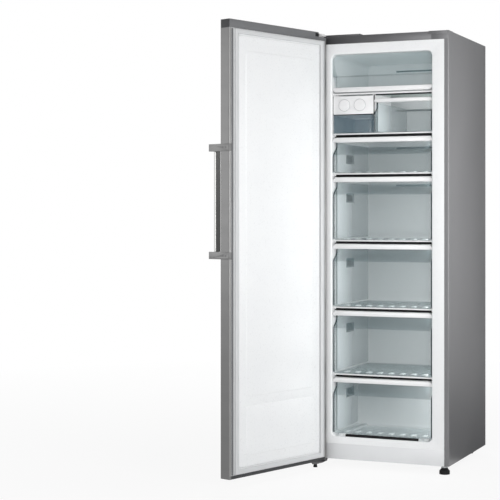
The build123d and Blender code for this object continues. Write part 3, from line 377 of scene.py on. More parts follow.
# the open groove beside the gasket at the free edge: painted shade, a darker grey than the channel
groove_painted_shade = moulded("groove_painted_shade_pvc", "#727375", "#6a6b6d", 0.6, 2.0, 0.02)
# polypropylene and rubber in black: matt, with hardly a highlight; both also serve as painted shade in gaps, slots
# and pockets
black_plastic_and_shade = moulded("black_polypropylene_and_painted_shade", "#141416", "#0d0e10", 0.6, 1.0, 0.03, 0.2)
black_rubber = moulded("black_rubber", "#1b1b1b", "#141414", 0.8, 0.8, 0.04, 0.15)
# the control box's polypropylene: mid grey, faintly grained
grey_moulding = moulded("grey_polypropylene", "#8b8d8f", "#828486", 0.5, 1.2, 0.03)
# the gap round each knob: painted shade, read as a thin grey circle
knob_gap_shade_grey = moulded("knob_gap_painted_shade", "#b9bbbc", "#b1b3b4", 0.5, 1.2, 0.02)
# foamed in place: straw coloured, open and coarse
polyurethane = moulded("rigid_polyurethane_foam", "#e6dcb6", "#d8cda2", 0.9, 2.5, 0.4)
# milky polyethylene of the ice trays
tray_moulding = moulded("polyethylene_ice_tray", "#d5e2e8", "#c8d8e0", 0.4, 1.5, 0.02)
# near black and matt, drawn as felt: painted shade behind the drawers' handholds
handhold_shade_felt = moulded("felt_painted_shade", "#20282c", "#181e22", 0.85, 1.2, 0.1)
# stove enamel on the compressor's shell and the condenser: black with a soft gloss
black_enamel = moulded("black_stove_enamel", "#191a1c", "#121315", 0.3, 1.6, 0.03)
# solder-masked glass fibre board
circuit_green = moulded("circuit_board", "#17512f", "#0f4024", 0.4, 4.0, 0.05)

# the drawers' thin fronts: nearly unseen face on, with blue-grey rims
clear_blue = clear_moulding("clear_polystyrene_drawer", "#dceef1", "#4c6168", 0.095, 0.78)
# the drawers' side walls: pale sheets of painted light behind the clear front
side_painted_light = side_wall_painted_light()
# the set-back strip of a drawer's front and the flap's wings: clear plastic tinted a shade deeper, as painted
# shade under the grips
deeper_clear_painted_shade = clear_moulding("clear_recess_painted_shade", "#87a5ad", "#4c6168", 0.09, 0.75)
# the drawer floor's raised pads: white painted highlights where the drawer is clear
pad_painted_highlight = clear_moulding("floor_pad_painted_highlight", "#f2f6f7", "#e2eaec", 0.75, 0.9, 0.5)
# the flap, tinted sea green through its thickness
clear_teal = clear_moulding("clear_polystyrene_flap", "#a6c6cb", "#4f6f76", 0.17, 0.85)
# the ice bin, tinted a smoky blue
clear_ice = clear_moulding("blue_polystyrene_bin", "#7d96a3", "#2f434e", 0.28, 0.9)
# tempered glass: nearly unseen face on, green at its edges
shelf_glass = clear_moulding("tempered_shelf_glass", "#d3e6e0", "#5f8f84", 0.06, 0.8, 0.02)
# thickened lips and front corners of the drawers: the clear plastic's full depth, deepened to near black as
# painted shade
lip_painted_shade = clear_moulding("thick_lip_painted_shade", "#35464d", "#1a252b", 0.88, 0.96)
# the display's figures, a pale violet light, and its faint grey keys
digit_light = lit_mark("lavender_led", "#cdc4ff", 0.9)
icon_print = lit_mark("grey_icon_print", "#5a5c66", 0.05)

FINISH = {
    "coated_steel": coated,
    "zinc_steel": galvanised(),
    "apron_paint": apron_paint,
    "foam": polyurethane,
    "white_liner": liner_white,
    "white_moulding": abs_white,
    "shelf_glass": shelf_glass,
    "clear_blue": clear_blue,
    "clear_teal": clear_teal,
    "ice_blue": clear_ice,
    "tray_plastic": tray_moulding,
    "stainless": stainless,
    "bright_steel": polished,
    "grey_cap": cap_grey,
    "gasket_grey": pvc_gasket,
    "black_glass": black_window(),
    "circuit": circuit_green,
    "hinge_steel": satin_zinc,
    "black_plastic": black_plastic_and_shade,
    "black_rubber": black_rubber,
    "black_paint": black_enamel,
    "fin_metal": fin_stock(),
    "motor_metal": satin_zinc,
    "grey_plastic": grey_moulding,
}
node_slots = {part["node"]: part["material_slot"] for part in frame["record"]["subparts"]}
node_body = {
    node: body
    for body, nodes in frame["record"]["behaviour"]["bodies"].items()
    for node in nodes
}

for name, solid in frame["nodes"].items():
    for index in range(max(1, len(solid.data.materials))):
        if index < len(solid.data.materials):
            solid.material_slots[index].material = FINISH[node_slots[name]]
        else:
            solid.data.materials.append(FINISH[node_slots[name]])


# ---------------- mesh tools

# an edge that turns by more than this is kept crisp or rounded
CRISP = math.radians(35.0)


def smooth_edges(mesh):
    """Shades a mesh smooth, with its crisp edges kept."""
    mesh.polygons.foreach_set("use_smooth", [True] * len(mesh.polygons))
    mesh.set_sharp_from_angle(angle=CRISP)


def dress(name, mesh, node, material=None, stands_for=False):
    """A finished mesh as a piece that rides with its node's body, in the node's slot or its own."""
    made = bpy.data.objects.new(name, mesh)
    bpy.context.scene.collection.objects.link(made)
    mesh.materials.clear()
    mesh.materials.append(material or FINISH[node_slots[node]])
    smooth_edges(mesh)
    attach(made, node_body[node])
    if stands_for:
        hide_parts(node)
    return made


def mesh_of(form, name, on_door=False):
    """Turns a form drawn in millimetres into a mesh in metres, at the door's rest angle if it is on it."""
    bmesh.ops.recalc_face_normals(form, faces=form.faces)
    form.transform(Matrix.Scale(MM, 4))
    if on_door:
        form.transform(OPENED)
    mesh = bpy.data.meshes.new(name)
    form.to_mesh(mesh)
    form.free()
    return mesh


def piece(name, form, node, material=None, stands_for=False, on_door=False):
    """A form drawn in millimetres as a piece, laid over its node or standing for it."""
    return dress(name, mesh_of(form, name, on_door), node, material, stands_for)


def rounded_node(node, width_mm, material=None):
    """A node's own form with its edges rounded as sheet and mouldings are, in place of the sharp one."""
    form = bmesh.new()
    form.from_mesh(frame["nodes"][node].data)
    bmesh.ops.remove_doubles(form, verts=form.verts, dist=1e-6)
    bmesh.ops.dissolve_limit(
        form, angle_limit=math.radians(0.5), verts=form.verts, edges=form.edges
    )
    edges = [e for e in form.edges if e.is_manifold and e.calc_face_angle(0.0) > CRISP]
    bmesh.ops.bevel(
        form, geom=edges, offset=width_mm * MM, segments=2, profile=0.5, affect="EDGES",
        clamp_overlap=True,
    )
    bmesh.ops.recalc_face_normals(form, faces=form.faces)
    mesh = bpy.data.meshes.new(node + "_form")
    form.to_mesh(mesh)
    form.free()
    dress(node + "_rounded", mesh, node, material, stands_for=True)


def ring(low, high, radius, steps=6):
    """A rounded rectangle as points, from its low corner to its high corner."""
    points = []
    corners = (
        (high[0] - radius, low[1] + radius, -90),
        (high[0] - radius, high[1] - radius, 0),
        (low[0] + radius, high[1] - radius, 90),
        (low[0] + radius, low[1] + radius, 180),
    )
    for x, y, start in corners:
        for step in range(steps + 1):
            turn = math.radians(start + 90 * step / steps)
            points.append((x + radius * math.cos(turn), y + radius * math.sin(turn)))
    return points


def circle(middle, radius, count):
    """Points round a circle."""
    turns = [2 * math.pi * i / count for i in range(count)]
    return [(middle[0] + radius * math.cos(t), middle[1] + radius * math.sin(t)) for t in turns]


def skin(form, rings, close_first=False, close_last=False, closed=True):
    """Faces between rings of equal length, in the order given."""
    rows = [[form.verts.new(p) for p in one] for one in rings]
    count = len(rows[0])
    for first, second in zip(rows, rows[1:]):
        for i in range(count if closed else count - 1):
            j = (i + 1) % count
            form.faces.new((first[i], first[j], second[j], second[i]))
    if close_first:
        form.faces.new(rows[0])
    if close_last:
        form.faces.new(rows[-1])


def brick(form, low, high, round_mm=0.0, segments=2):
    """A box from its low corner to its high corner, with rounded edges."""
    made = bmesh.ops.create_cube(form, size=1.0)
    size = Vector(high) - Vector(low)
    middle = (Vector(high) + Vector(low)) / 2
    for vertex in made["verts"]:
        vertex.co = Vector(a * b for a, b in zip(vertex.co, size)) + middle
    if round_mm:
        edges = {e for v in made["verts"] for e in v.link_edges}
        bmesh.ops.bevel(
            form, geom=list(edges), offset=round_mm, segments=segments, profile=0.5,
            affect="EDGES",
        )


def brick_each_side(form, inner, outer, low, high, round_mm=0.0):
    """A brick left and right, from inner to outer off the middle; its low and high are a y and a z."""
    for side in (-1, 1):
        left, right = sorted((side * inner, side * outer))
        brick(form, (left, *low), (right, *high), round_mm)


def thicken(form, wall):
    """Gives an open skin its wall, inwards."""
    bmesh.ops.recalc_face_normals(form, faces=form.faces)
    bmesh.ops.solidify(form, geom=form.faces[:], thickness=wall)


# a skewed line: no two corners or faces of a moulding lie equally far along it
SORT_LINE = Vector((1.0, 0.6183, 0.3769))


def put_in_order(mesh):
    """Gives a mesh's parts the same order on each run, which a solidified form's don't have."""
    form = bmesh.new()
    form.from_mesh(mesh)
    form.verts.sort(key=lambda v: v.co.dot(SORT_LINE))
    form.edges.sort(key=lambda e: (e.verts[0].co + e.verts[1].co).dot(SORT_LINE))
    form.faces.sort(key=lambda f: f.calc_center_median().dot(SORT_LINE))
    form.to_mesh(mesh)
    form.free()


def cut(made, cutter_mesh):
    """Cuts one mesh out of a piece, for good."""
    cutter = bpy.data.objects.new("cutter", cutter_mesh)
    bpy.context.scene.collection.objects.link(cutter)
    knife = made.modifiers.new("cut", "BOOLEAN")
    knife.operation = "DIFFERENCE"
    knife.solver = "EXACT"
    knife.object = cutter
    bpy.context.view_layer.update()
    depsgraph = bpy.context.evaluated_depsgraph_get()
    result = bpy.data.meshes.new_from_object(made.evaluated_get(depsgraph))
    made.modifiers.remove(knife)
    made.data = result
    put_in_order(result)
    smooth_edges(result)
    bpy.data.objects.remove(cutter)


# ---------------- cabinet liner

def liner_tub():
    """The formed liner: rim, rolled lip, tub with its step over the machine room, ledges and ribs."""
    form = bmesh.new()

    def section(y, inset=0.0, low=OPENING_LOW):
        points = ring(
            (-OPENING_HALF + inset, low + inset),
            (OPENING_HALF - inset, OPENING_HIGH - inset),
            OPENING_CORNER - inset,
        )
        return [(x, y, z) for x, z in points]

    rim = ring((-RIM_HALF, RIM_LOW), (RIM_HALF, RIM_HIGH), 1.0)
    rings = [[(x, y, z) for x, z in rim] for y in (2.0, 0.0)]
    for angle in (0, 22, 45, 68, 90):
        turn = math.radians(angle)
        rings.append(section(RIM_LIP * (1 - math.cos(turn)), -RIM_LIP * (1 - math.sin(turn))))
    rings += [
        section(STEP_FRONT - 6.0),
        section(STEP_FRONT - 1.0),
        section(STEP_FRONT, low=STEP_TOP - 4.0),
        section(STEP_FRONT + 4.0, low=STEP_TOP),
        section(LINER_DEPTH - 8.0, low=STEP_TOP),
        section(LINER_DEPTH, 8.0, STEP_TOP),
    ]
    skin(form, rings, close_last=True)
    for level in SHELF_LEVELS:
        brick_each_side(
            form, OPENING_HALF - 10.0, OPENING_HALF + 1.0, (28.0, level - SHELF_BUILD),
            (DUCT_FRONT - 2.0, level - 4.0), 2.0,
        )
    brick_each_side(
        form, 178.0, 202.0, (34.0, OPENING_LOW - 1.0), (STEP_FRONT, OPENING_LOW + 10.0), 3.0
    )
    piece("liner_tub", form, "inner_liner", stands_for=True)


def handhold_shade_pads():
    """Near black pads on the liner's side walls: painted shade, seen through the drawers' handholds."""
    form = bmesh.new()
    half_length = HANDHOLD_HALF_LENGTH + 4.0
    half_height = HANDHOLD_HALF_HEIGHT + 3.0
    for level, height in DRAWERS.values():
        middle = level + height - HANDHOLD_DROP
        brick_each_side(
            form, OPENING_HALF - 0.7, OPENING_HALF + 0.3,
            (HANDHOLD_BACK - half_length, middle - half_height),
            (HANDHOLD_BACK + half_length, middle + half_height),
        )
    piece("handhold_shade_pads", form, "inner_liner", handhold_shade_felt)


def slot_shade_sheet():
    """A black sheet of painted shade behind the air slots of the upright panel, so that each slot reads as a dark
    line.
    """
    form = bmesh.new()
    half_length, half_height, front, back = 96.0, 9.0, 473.6, 475.4
    ceilings = [OPENING_HIGH] + [level - SHELF_BUILD for level in SHELF_LEVELS[1:]]
    for ceiling in ceilings:
        middle = ceiling - AIR_SLOT_DROP
        low = (-half_length, front, middle - half_height)
        brick(form, low, (half_length, back, middle + half_height))
    piece("slot_shade_sheet", form, "duct_panel", black_rubber)


def shelf_shade_strips():
    """Black strips of painted shade hung under the shelf trims, which keep the gap over each drawer dark."""
    form = bmesh.new()
    half_width, front, back, trim_drop = 220.0, 30.0, 33.0, 5.6
    for level in SHELF_LEVELS:
        over_small_drawer = level == SHELF_LEVELS[-1]
        left = SMALL_DRAWER_LEFT + 1.0 if over_small_drawer else -half_width
        drop = 11.0 if over_small_drawer else 16.5
        brick(form, (left, front, level - drop), (half_width, back, level - trim_drop), 0.4)
    piece("shelf_shade_strips", form, "shelf_trims", black_plastic_and_shade)


liner_tub()
handhold_shade_pads()
slot_shade_sheet()
shelf_shade_strips()


# ---------------- drawers

def ledge_of(z, grip):
    """The height of the ledge under a drawer's recess."""
    return z[1] - grip - RECESS_HEIGHT


def setback(z, ledge):
    """How far the drawer's front stands back at a height, in a rounded slope above the ledge."""
    share = (z - ledge + RECESS_ROUNDING) / (RECESS_SLOPE + 2 * RECESS_ROUNDING)
    t = max(0.0, min(1.0, share))
    return RECESS_DEPTH * t * t * (3 - 2 * t)


def slope_heights(ledge):
    """The heights at which the rounded slope is drawn, from its foot to its top."""
    rise = RECESS_SLOPE + 2 * RECESS_ROUNDING
    return [ledge - RECESS_ROUNDING + rise * i / SLOPE_STEPS for i in range(SLOPE_STEPS + 1)]


def handhold_cutter(x, middle):
    """A bar through both side walls with its long edges rounded, as a handhold is."""
    form = bmesh.new()
    brick(
        form,
        (x[0] - 20.0, HANDHOLD_BACK - HANDHOLD_HALF_LENGTH, middle - HANDHOLD_HALF_HEIGHT),
        (x[1] + 20.0, HANDHOLD_BACK + HANDHOLD_HALF_LENGTH, middle + HANDHOLD_HALF_HEIGHT),
    )
    long_edges = [e for e in form.edges if abs(e.verts[0].co.x - e.verts[1].co.x) > 100.0]
    bmesh.ops.bevel(form, geom=long_edges, offset=8.0, segments=4, profile=0.5, affect="EDGES")
    return mesh_of(form, "handhold_cutter")


def drawer_tub(name, node, x, y, z, grip):
    """A clear moulded drawer with a rounded step in its front, a rounded foot and two handholds."""
    form = bmesh.new()
    ledge = ledge_of(z, grip)
    rings = []
    for inset, rise in ((6.0, 0.0), (2.2, 1.4), (0.6, 3.6)):
        low = (x[0] + inset, y[0] + inset)
        high = (x[1] - inset, y[1] - inset)
        outline = ring(low, high, DRAWER_CORNER - inset)
        rings.append([(a, b, z[0] + rise) for a, b in outline])
    heights = [z[0] + 6.0, (z[0] + ledge) / 2] + slope_heights(ledge) + [z[1] - grip - 1.0]
    for height in heights:
        outline = ring((x[0], y[0] + setback(height, ledge)), (x[1], y[1]), DRAWER_CORNER)
        rings.append([(a, b, height) for a, b in outline])
    skin(form, rings, close_first=True)
    thicken(form, DRAWER_WALL)
    made = piece(name, form, node, stands_for=True)
    cut(made, handhold_cutter(x, z[1] - HANDHOLD_DROP))


def recess_pane(name, node, x, z, grip):
    """The strip of a drawer's front from its ledge back and up to the grip, tinted deeper as painted shade under
    the grip.
    """
    form = bmesh.new()
    ledge = ledge_of(z, grip)
    rows = []
    for height in slope_heights(ledge) + [z[1] - grip - 0.5]:
        y = DRAWER_FRONT + setback(height, ledge) - 0.5
        rows.append([(x[0] + 6.0, y, height), (x[1] - 6.0, y, height)])
    skin(form, rows, closed=False)
    thicken(form, 0.3)
    made = piece(name, form, node, deeper_clear_painted_shade)
    put_in_order(made.data)


def side_sheets(name, node, x, y, z, top, holds):
    """The side walls' sheets of painted light, open round the handholds where it shows them."""
    form = bmesh.new()
    middle = top - HANDHOLD_DROP
    near = HANDHOLD_BACK - HANDHOLD_HALF_LENGTH - 14.0
    far = HANDHOLD_BACK + HANDHOLD_HALF_LENGTH + 14.0
    clear = HANDHOLD_HALF_HEIGHT + 5.0
    fields = [((y[0] + 44.0, near), z), ((far, y[1] - 6.0), z)]
    if holds:
        fields += [((near, far), (z[0], middle - clear)), ((near, far), (middle + clear, z[1]))]
    else:
        fields += [((near, far), z)]
    for side, edge in ((1, x[0]), (-1, x[1])):
        ends = sorted((edge + side * (DRAWER_WALL + 0.1), edge + side * (DRAWER_WALL + 0.4)))
        for across, up in fields:
            brick(form, (ends[0], across[0], up[0]), (ends[1], across[1], up[1]))
    piece(name, form, node, side_painted_light)


def handhold_lips(name, node, x, top):
    """The thick lips round a drawer's side handholds, dark with painted shade."""
    form = bmesh.new()
    middle = top - HANDHOLD_DROP
    bars = (
        ((-35.5, 13.0), (35.5, 20.0)),
        ((-35.5, -20.0), (35.5, -13.0)),
        ((-48.0, -20.0), (-33.0, 20.0)),
        ((33.0, -20.0), (48.0, 20.0)),
    )
    for side, edge in ((-1, x[0]), (1, x[1])):
        ends = sorted((edge + side * 0.9, edge - side * (DRAWER_WALL + 0.9)))
        for low, high in bars:
            brick(
                form, (ends[0], HANDHOLD_BACK + low[0], middle + low[1]),
                (ends[1], HANDHOLD_BACK + high[0], middle + high[1]), 0.8,
            )
    piece(name, form, node, lip_painted_shade)


def corner_beads(name, node, x, z, grip):
    """The thick upright front corners of a drawer, dark with painted shade, so that they show as two dark bent
    lines.
    """
    form = bmesh.new()
    inside, radius = 2.6, 2.9
    ledge = ledge_of(z, grip)
    for side, edge in ((1, x[0]), (-1, x[1])):
        rings = []
        for height in [z[0] + 5.0] + slope_heights(ledge) + [z[1] - grip]:
            middle = (edge + side * inside, DRAWER_FRONT + setback(height, ledge) + inside)
            rings.append([(a, b, height) for a, b in circle(middle, radius, 10)])
        skin(form, rings, close_first=True, close_last=True)
    piece(name, form, node, lip_painted_shade)


def floor_pads(name, node, x, floor_z):
    """The row of raised pads along the front of a drawer's floor, white as painted highlights."""
    form = bmesh.new()
    half_width, front, back, rise, rounding = 8.5, 46.0, 84.0, 3.2, 3.0
    count = round((x[1] - x[0] - 90.0) / PAD_PITCH) + 1
    for index in range(count):
        middle = (x[0] + x[1]) / 2 + PAD_PITCH * (index - (count - 1) / 2)
        low = (middle - half_width, front, floor_z + DRAWER_WALL - 0.3)
        high = (middle + half_width, back, floor_z + DRAWER_WALL + rise)
        brick(form, low, high, rounding, 3)
    piece(name, form, node, pad_painted_highlight)


def drawer(name, x, back, level, height, grip, grip_rounding, wide=True):
    """One drawer's pieces: tub, grip, corners and sides, and a wide one's recess, pads and lips."""
    node = name + "_bin"
    y = (DRAWER_FRONT, back)
    z = (level + DRAWER_CLEARANCE, level + height)
    drawer_tub(name + "_tub", node, x, y, z, grip)
    rounded_node(name + "_grip", grip_rounding)
    corner_beads(name + "_corners", node, x, z, grip)
    if wide:
        recess_pane(name + "_recess", node, x, z, grip)
    side_sheets(name + "_sides", node, x, y, (level + 8.0, z[1] - grip - 1.0), z[1], wide)
    if wide:
        floor_pads(name + "_pads", node, x, z[0])
        handhold_lips(name + "_lips", node, x, z[1])


def floor_slot_shade():
    """The black strip of painted shade that closes the gap under the bottom drawer's front."""
    form = bmesh.new()
    left, right, front, back = -163.0, 160.0, 8.0, 22.0
    under_drawer = DRAWERS[5][0] - 0.4
    brick(form, (left, front, OPENING_LOW - 0.5), (right, back, under_drawer), 0.8)
    piece("floor_slot_shade_strip", form, "inner_liner", black_plastic_and_shade)


for number, (level, height) in DRAWERS.items():
    wall_behind = STEP_FRONT if number == 5 else DUCT_FRONT
    drawer(
        f"drawer_{number}", (-DRAWER_SIDE, DRAWER_SIDE), wall_behind - 10.0, level, height,
        GRIP_HEIGHT, 1.5,
    )
drawer(
    "small_drawer", (SMALL_DRAWER_LEFT, DRAWER_SIDE), DUCT_FRONT - 10.0, SHELF_LEVELS[4],
    SMALL_DRAWER_HEIGHT, SMALL_GRIP_HEIGHT, 1.2, wide=False,
)
floor_slot_shade()


# ---------------- door

def gasket_bellows():
    """The magnetic gasket: a foot, a folded bellows and the bulb that holds the magnet."""
    section = (
        (1.5, 0.0), (0.0, 1.2), (1.0, 2.6), (4.2, 3.1), (4.6, 4.0), (1.8, 4.8), (0.7, 6.2),
        (1.3, 8.3), (3.0, 9.3), (10.0, 9.5), (17.0, 9.3), (18.7, 8.3), (19.3, 6.2),
        (18.2, 4.8), (15.4, 4.0), (15.8, 3.1), (19.0, 2.6), (20.0, 1.2), (18.5, 0.0),
    )
    form = bmesh.new()
    rings = []
    for inset, rise in section:
        low = (-GASKET_HALF + inset, GASKET_LOW + inset)
        high = (GASKET_HALF - inset, GASKET_HIGH - inset)
        rings.append([(x, DOOR_BACK + rise, z) for x, z in ring(low, high, 3.0, 2)])
    skin(form, rings)
    piece("gasket_bellows", form, "door_gasket", stands_for=True, on_door=True)


def door_pan():
    """The door's formed liner: a raised field inside the gasket with two long pressed panels on it."""
    form = bmesh.new()
    field_half, field_margin, corner = 250.0, 24.0, 14.0
    rows = [
        (DOOR_LINER_HALF, DOOR_LINER_LOW, DOOR_LINER_HIGH, 1.0, -2.0),
        (DOOR_LINER_HALF, DOOR_LINER_LOW, DOOR_LINER_HIGH, 1.0, 0.0),
    ]
    for inset, rise in ((0.0, 0.0), (1.0, 0.3), (2.2, 1.2), (3.4, 2.6), (4.6, 3.5), (6.2, 4.0)):
        margin = field_margin + inset
        rows.append((
            field_half - inset, DOOR_LINER_LOW + margin, DOOR_LINER_HIGH - margin, corner - inset, rise,
        ))
    rings = []
    for half, bottom, top, radius, rise in rows:
        outline = ring((-half, bottom), (half, top), radius, 5)
        rings.append([(x, DOOR_BACK + rise, z) for x, z in outline])
    skin(form, rings, close_last=True)
    panel_half = 208.5
    for bottom, top in ((115.0, 314.0), (350.0, 1736.0)):
        rings = []
        for inset, rise in ((0.0, -0.2), (1.2, 0.5), (2.8, 1.2), (4.6, 1.5)):
            low = (-panel_half + inset, bottom + inset)
            high = (panel_half - inset, top - inset)
            outline = ring(low, high, corner - inset, 5)
            rings.append([(x, DOOR_BACK + 4.0 + rise, z) for x, z in outline])
        skin(form, rings, close_last=True)
    piece("door_pan", form, "door_liner", stands_for=True, on_door=True)


def gasket_channel():
    """The grey channel round the gasket's foot, between the folded steel edge and the gasket."""
    form = bmesh.new()
    outer = (DOOR_LINER_LOW + 0.3, DOOR_LINER_HIGH - 0.3)
    inner = (GASKET_LOW - 0.5, GASKET_HIGH + 0.5)
    rings = []
    for half, (low, high), rise in (
        (287.0, outer, -0.1), (287.0, outer, 0.3), (276.0, inner, 0.3), (274.6, inner, 0.1),
        (274.6, inner, -0.1),
    ):
        outline = ring((-half, low), (half, high), 1.0, 1)
        rings.append([(x, DOOR_BACK + rise, z) for x, z in outline])
    skin(form, rings)
    piece("gasket_channel", form, "door_gasket", channel_grey, on_door=True)


def free_edge_groove():
    """The groove between the folded steel and the gasket along the door's free edge, darkened with painted shade.
    """
    form = bmesh.new()
    brick(form, (275.4, DOOR_BACK - 0.6, 47.0), (286.6, DOOR_BACK + 0.5, 1818.0), 0.3)
    piece("free_edge_groove", form, "door_gasket", groove_painted_shade, on_door=True)


def folded_edge():
    """The folded return of the door's steel skin, bright with a painted highlight along both long sides of the
    inner face.
    """
    form = bmesh.new()
    brick_each_side(
        form, DOOR_HALF - 9.3, DOOR_HALF - 0.3, (DOOR_BACK - 0.6, DOOR_LINER_LOW),
        (DOOR_BACK + 0.35, DOOR_LINER_HIGH), 0.3,
    )
    piece("folded_edge", form, "door_skin", folded_steel_painted_highlight, on_door=True)


def cap_inner_band():
    """The top cap's inner face, painted paler as lit, lower where it passes under the hinge's pocket."""
    form = bmesh.new()
    low, near, back = DOOR_LINER_HIGH + 0.4, DOOR_BACK - 0.6, DOOR_BACK + 0.3
    edge, split = DOOR_HALF - 0.3, POCKET_RIGHT + 1.0
    brick(form, (split, near, low), (edge, back, DOOR_TOP - 0.6), 0.3)
    brick(form, (-edge, near, low), (split, back, POCKET_FLOOR - 0.2), 0.3)
    piece("cap_inner_band", form, "door_top_cap", cap_painted_light, on_door=True)


def hinge_pocket_shade():
    """Black painted shade lining the pocket the hinge arm enters: floor, front, end wall and the spot beside it.
    """
    form = bmesh.new()
    floor_top, mouth = POCKET_FLOOR + 0.2, DOOR_BACK - 0.4
    brick(form, (POCKET_LEFT, POCKET_FRONT, POCKET_FLOOR), (POCKET_RIGHT, mouth, POCKET_FLOOR + 0.5))
    brick(
        form, (POCKET_LEFT, POCKET_FRONT - 0.1, floor_top), (POCKET_RIGHT, POCKET_FRONT + 0.5, POCKET_TOP)
    )
    brick(
        form, (POCKET_RIGHT - 0.1, POCKET_FRONT, floor_top), (POCKET_RIGHT + 0.4, mouth, POCKET_TOP)
    )
    brick(
        form, (POCKET_RIGHT, DOOR_BACK - 0.3, POCKET_FLOOR),
        (POCKET_RIGHT + 22.0, DOOR_BACK + 0.45, 1850.0), 0.2,
    )
    piece(
        "hinge_pocket_shade", form, "door_top_cap", black_plastic_and_shade, on_door=True
    )


gasket_bellows()
door_pan()
gasket_channel()
free_edge_groove()
folded_edge()
cap_inner_band()
hinge_pocket_shade()


# ---------------- front strip, flap, hinge, ice maker

def top_band():
    """The satin strip across the cabinet's front over the liner, with the seam near its right end, in paint that
    carries painted shade at its left end.
    """
    form = bmesh.new()
    for left, right in ((-296.0, 221.0), (222.4, 296.0)):
        brick(form, (left, -0.5, BAND_LOW), (right, 1.5, BAND_HIGH), 0.4)
    piece("top_band", form, "cabinet_shell", band_paint_with_painted_shade)


def flap_cheeks():
    """The clear wings at the flap's two ends, curved back to its grip, tinted deeper as painted shade."""
    form = bmesh.new()
    profile = (
        (14.0, 1756.0), (14.0, 1672.0), (24.0, 1655.0), (36.0, 1634.0), (42.0, 1622.0),
        (46.0, 1606.0), (50.4, 1606.0), (50.4, 1678.0), (40.0, 1692.0), (28.0, 1712.0),
        (20.0, 1735.0), (18.0, 1756.0),
    )
    for side in (-1, 1):
        rings = [[(side * x, y, z) for y, z in profile] for x in (217.6, 220.4)]
        skin(form, rings, close_first=True, close_last=True)
    piece("flap_cheeks", form, "flap_panel", deeper_clear_painted_shade)


def hinge_plate():
    """The wide pale plate of the top hinge."""
    form = bmesh.new()
    brick(form, (-293.5, -41.0, 1839.4), (-258.0, -3.0, 1850.4), 0.8)
    piece("hinge_plate", form, "top_hinge", hinge_enamel)


def pocket_roof():
    """The cap's roof over the front of the hinge's pocket."""
    form = bmesh.new()
    brick(form, (POCKET_LEFT, -60.4, 1852.6), (POCKET_RIGHT + 0.2, -36.0, 1854.8), 0.3)
    piece("pocket_roof", form, "door_top_cap", on_door=True)


def corner_shade_strip():
    """The black strip of painted shade between the hinge and the satin strip's left end."""
    form = bmesh.new()
    brick(form, (-296.4, -0.9, BAND_LOW - 0.6), (-276.0, 1.0, BAND_HIGH - 0.4), 0.3)
    piece("corner_shade_strip", form, "cabinet_shell", black_rubber)


def knob_gap_shades():
    """The gap round each ice-maker knob, drawn as a grey ring of painted shade."""
    form = bmesh.new()
    back, front = HOUSING_FACE - 0.05, HOUSING_FACE - 0.7
    outer = KNOB_RADIUS + 1.6
    for x in KNOB_MIDDLES:
        rings = []
        for radius, y in ((KNOB_RADIUS, back), (KNOB_RADIUS, front), (outer, front), (outer, back)):
            rings.append([(a, y, b) for a, b in circle((x, KNOB_HEIGHT), radius, 36)])
        skin(form, rings)
    piece("knob_gap_shades", form, "ice_maker_housing", knob_gap_shade_grey)


def housing_gap_shades():
    """Dark strips of painted shade in the gaps at the ice-maker housing's two sides and under it."""
    form = bmesh.new()
    for left, right in ((-224.0, -221.2), (-38.8, -35.6)):
        brick(form, (left, 17.0, 1508.0), (right, 21.0, 1587.0))
    brick(form, (-221.0, 18.0, 1505.4), (-40.0, 22.0, 1508.6))
    piece("housing_gap_shades", form, "ice_maker_housing", black_rubber)


top_band()
flap_cheeks()
hinge_plate()
pocket_roof()
corner_shade_strip()
knob_gap_shades()
housing_gap_shades()

rounded_node("top_hinge", 0.8, hinge_enamel)
rounded_node("handle_screws", 0.4, satin_zinc)
rounded_node("hinge_covers", 0.8, band_paint_with_painted_shade)
for node, width in (
    ("door_top_cap", 1.0), ("door_bottom_cap", 1.0), ("handle_bracket_upper", 1.2),
    ("handle_bracket_lower", 1.2), ("display_window", 0.5), ("bottom_hinge", 0.8),
    ("ice_maker_housing", 1.0), ("flap_grip", 1.5), ("shelf_trims", 1.0), ("front_apron", 0.5),
    ("ice_bin", 0.8), ("control_box", 1.0), ("drip_tray", 0.8),
):
    rounded_node(node, width)


# ---------------- display

# the seven strokes of a digit, as ends on a grid 1 wide and 2 high
STROKES = {
    "a": ((0, 2), (1, 2)), "b": ((1, 1), (1, 2)), "c": ((1, 0), (1, 1)), "d": ((0, 0), (1, 0)),
    "e": ((0, 0), (0, 1)), "f": ((0, 1), (0, 2)), "g": ((0, 1), (1, 1)),
}
DIGITS = {"1": "bc", "8": "abcdefg"}


def display_digits():
    """A lit two-figure temperature behind the glass."""
    form = bmesh.new()
    first_left, pitch, foot, stroke_length, half_stroke = -11.0, 13.5, 1628.0, 8.5, 0.9
    for index, digit in enumerate("18"):
        left = first_left + pitch * index
        for stroke in DIGITS[digit]:
            start, end = STROKES[stroke]
            low_x, high_x = (left + stroke_length * pick(start[0], end[0]) for pick in (min, max))
            low_z, high_z = (foot + stroke_length * pick(start[1], end[1]) for pick in (min, max))
            brick(
                form, (low_x - half_stroke, GLASS_FACE - 0.06, low_z - half_stroke),
                (high_x + half_stroke, GLASS_FACE + 0.3, high_z + half_stroke),
            )
    piece("display_digits", form, "display_window", digit_light, on_door=True)


def display_icons():
    """Four faint round keys and the seam under them."""
    form = bmesh.new()
    back, front = GLASS_FACE + 0.2, GLASS_FACE - 0.05
    for x in (-11.5, 11.5):
        for z in (1594.0, 1566.0):
            rings = []
            for radius, y in ((3.6, back), (3.6, front), (2.8, front), (2.8, back)):
                rings.append([(a, y, b) for a, b in circle((x, z), radius, 24)])
            skin(form, rings)
    brick(form, (-24.0, front, 1549.4), (24.0, back, 1550.0))
    piece("display_icons", form, "display_window", icon_print, on_door=True)


display_digits()
display_icons()


# ---------------- stage, light and camera, in metres

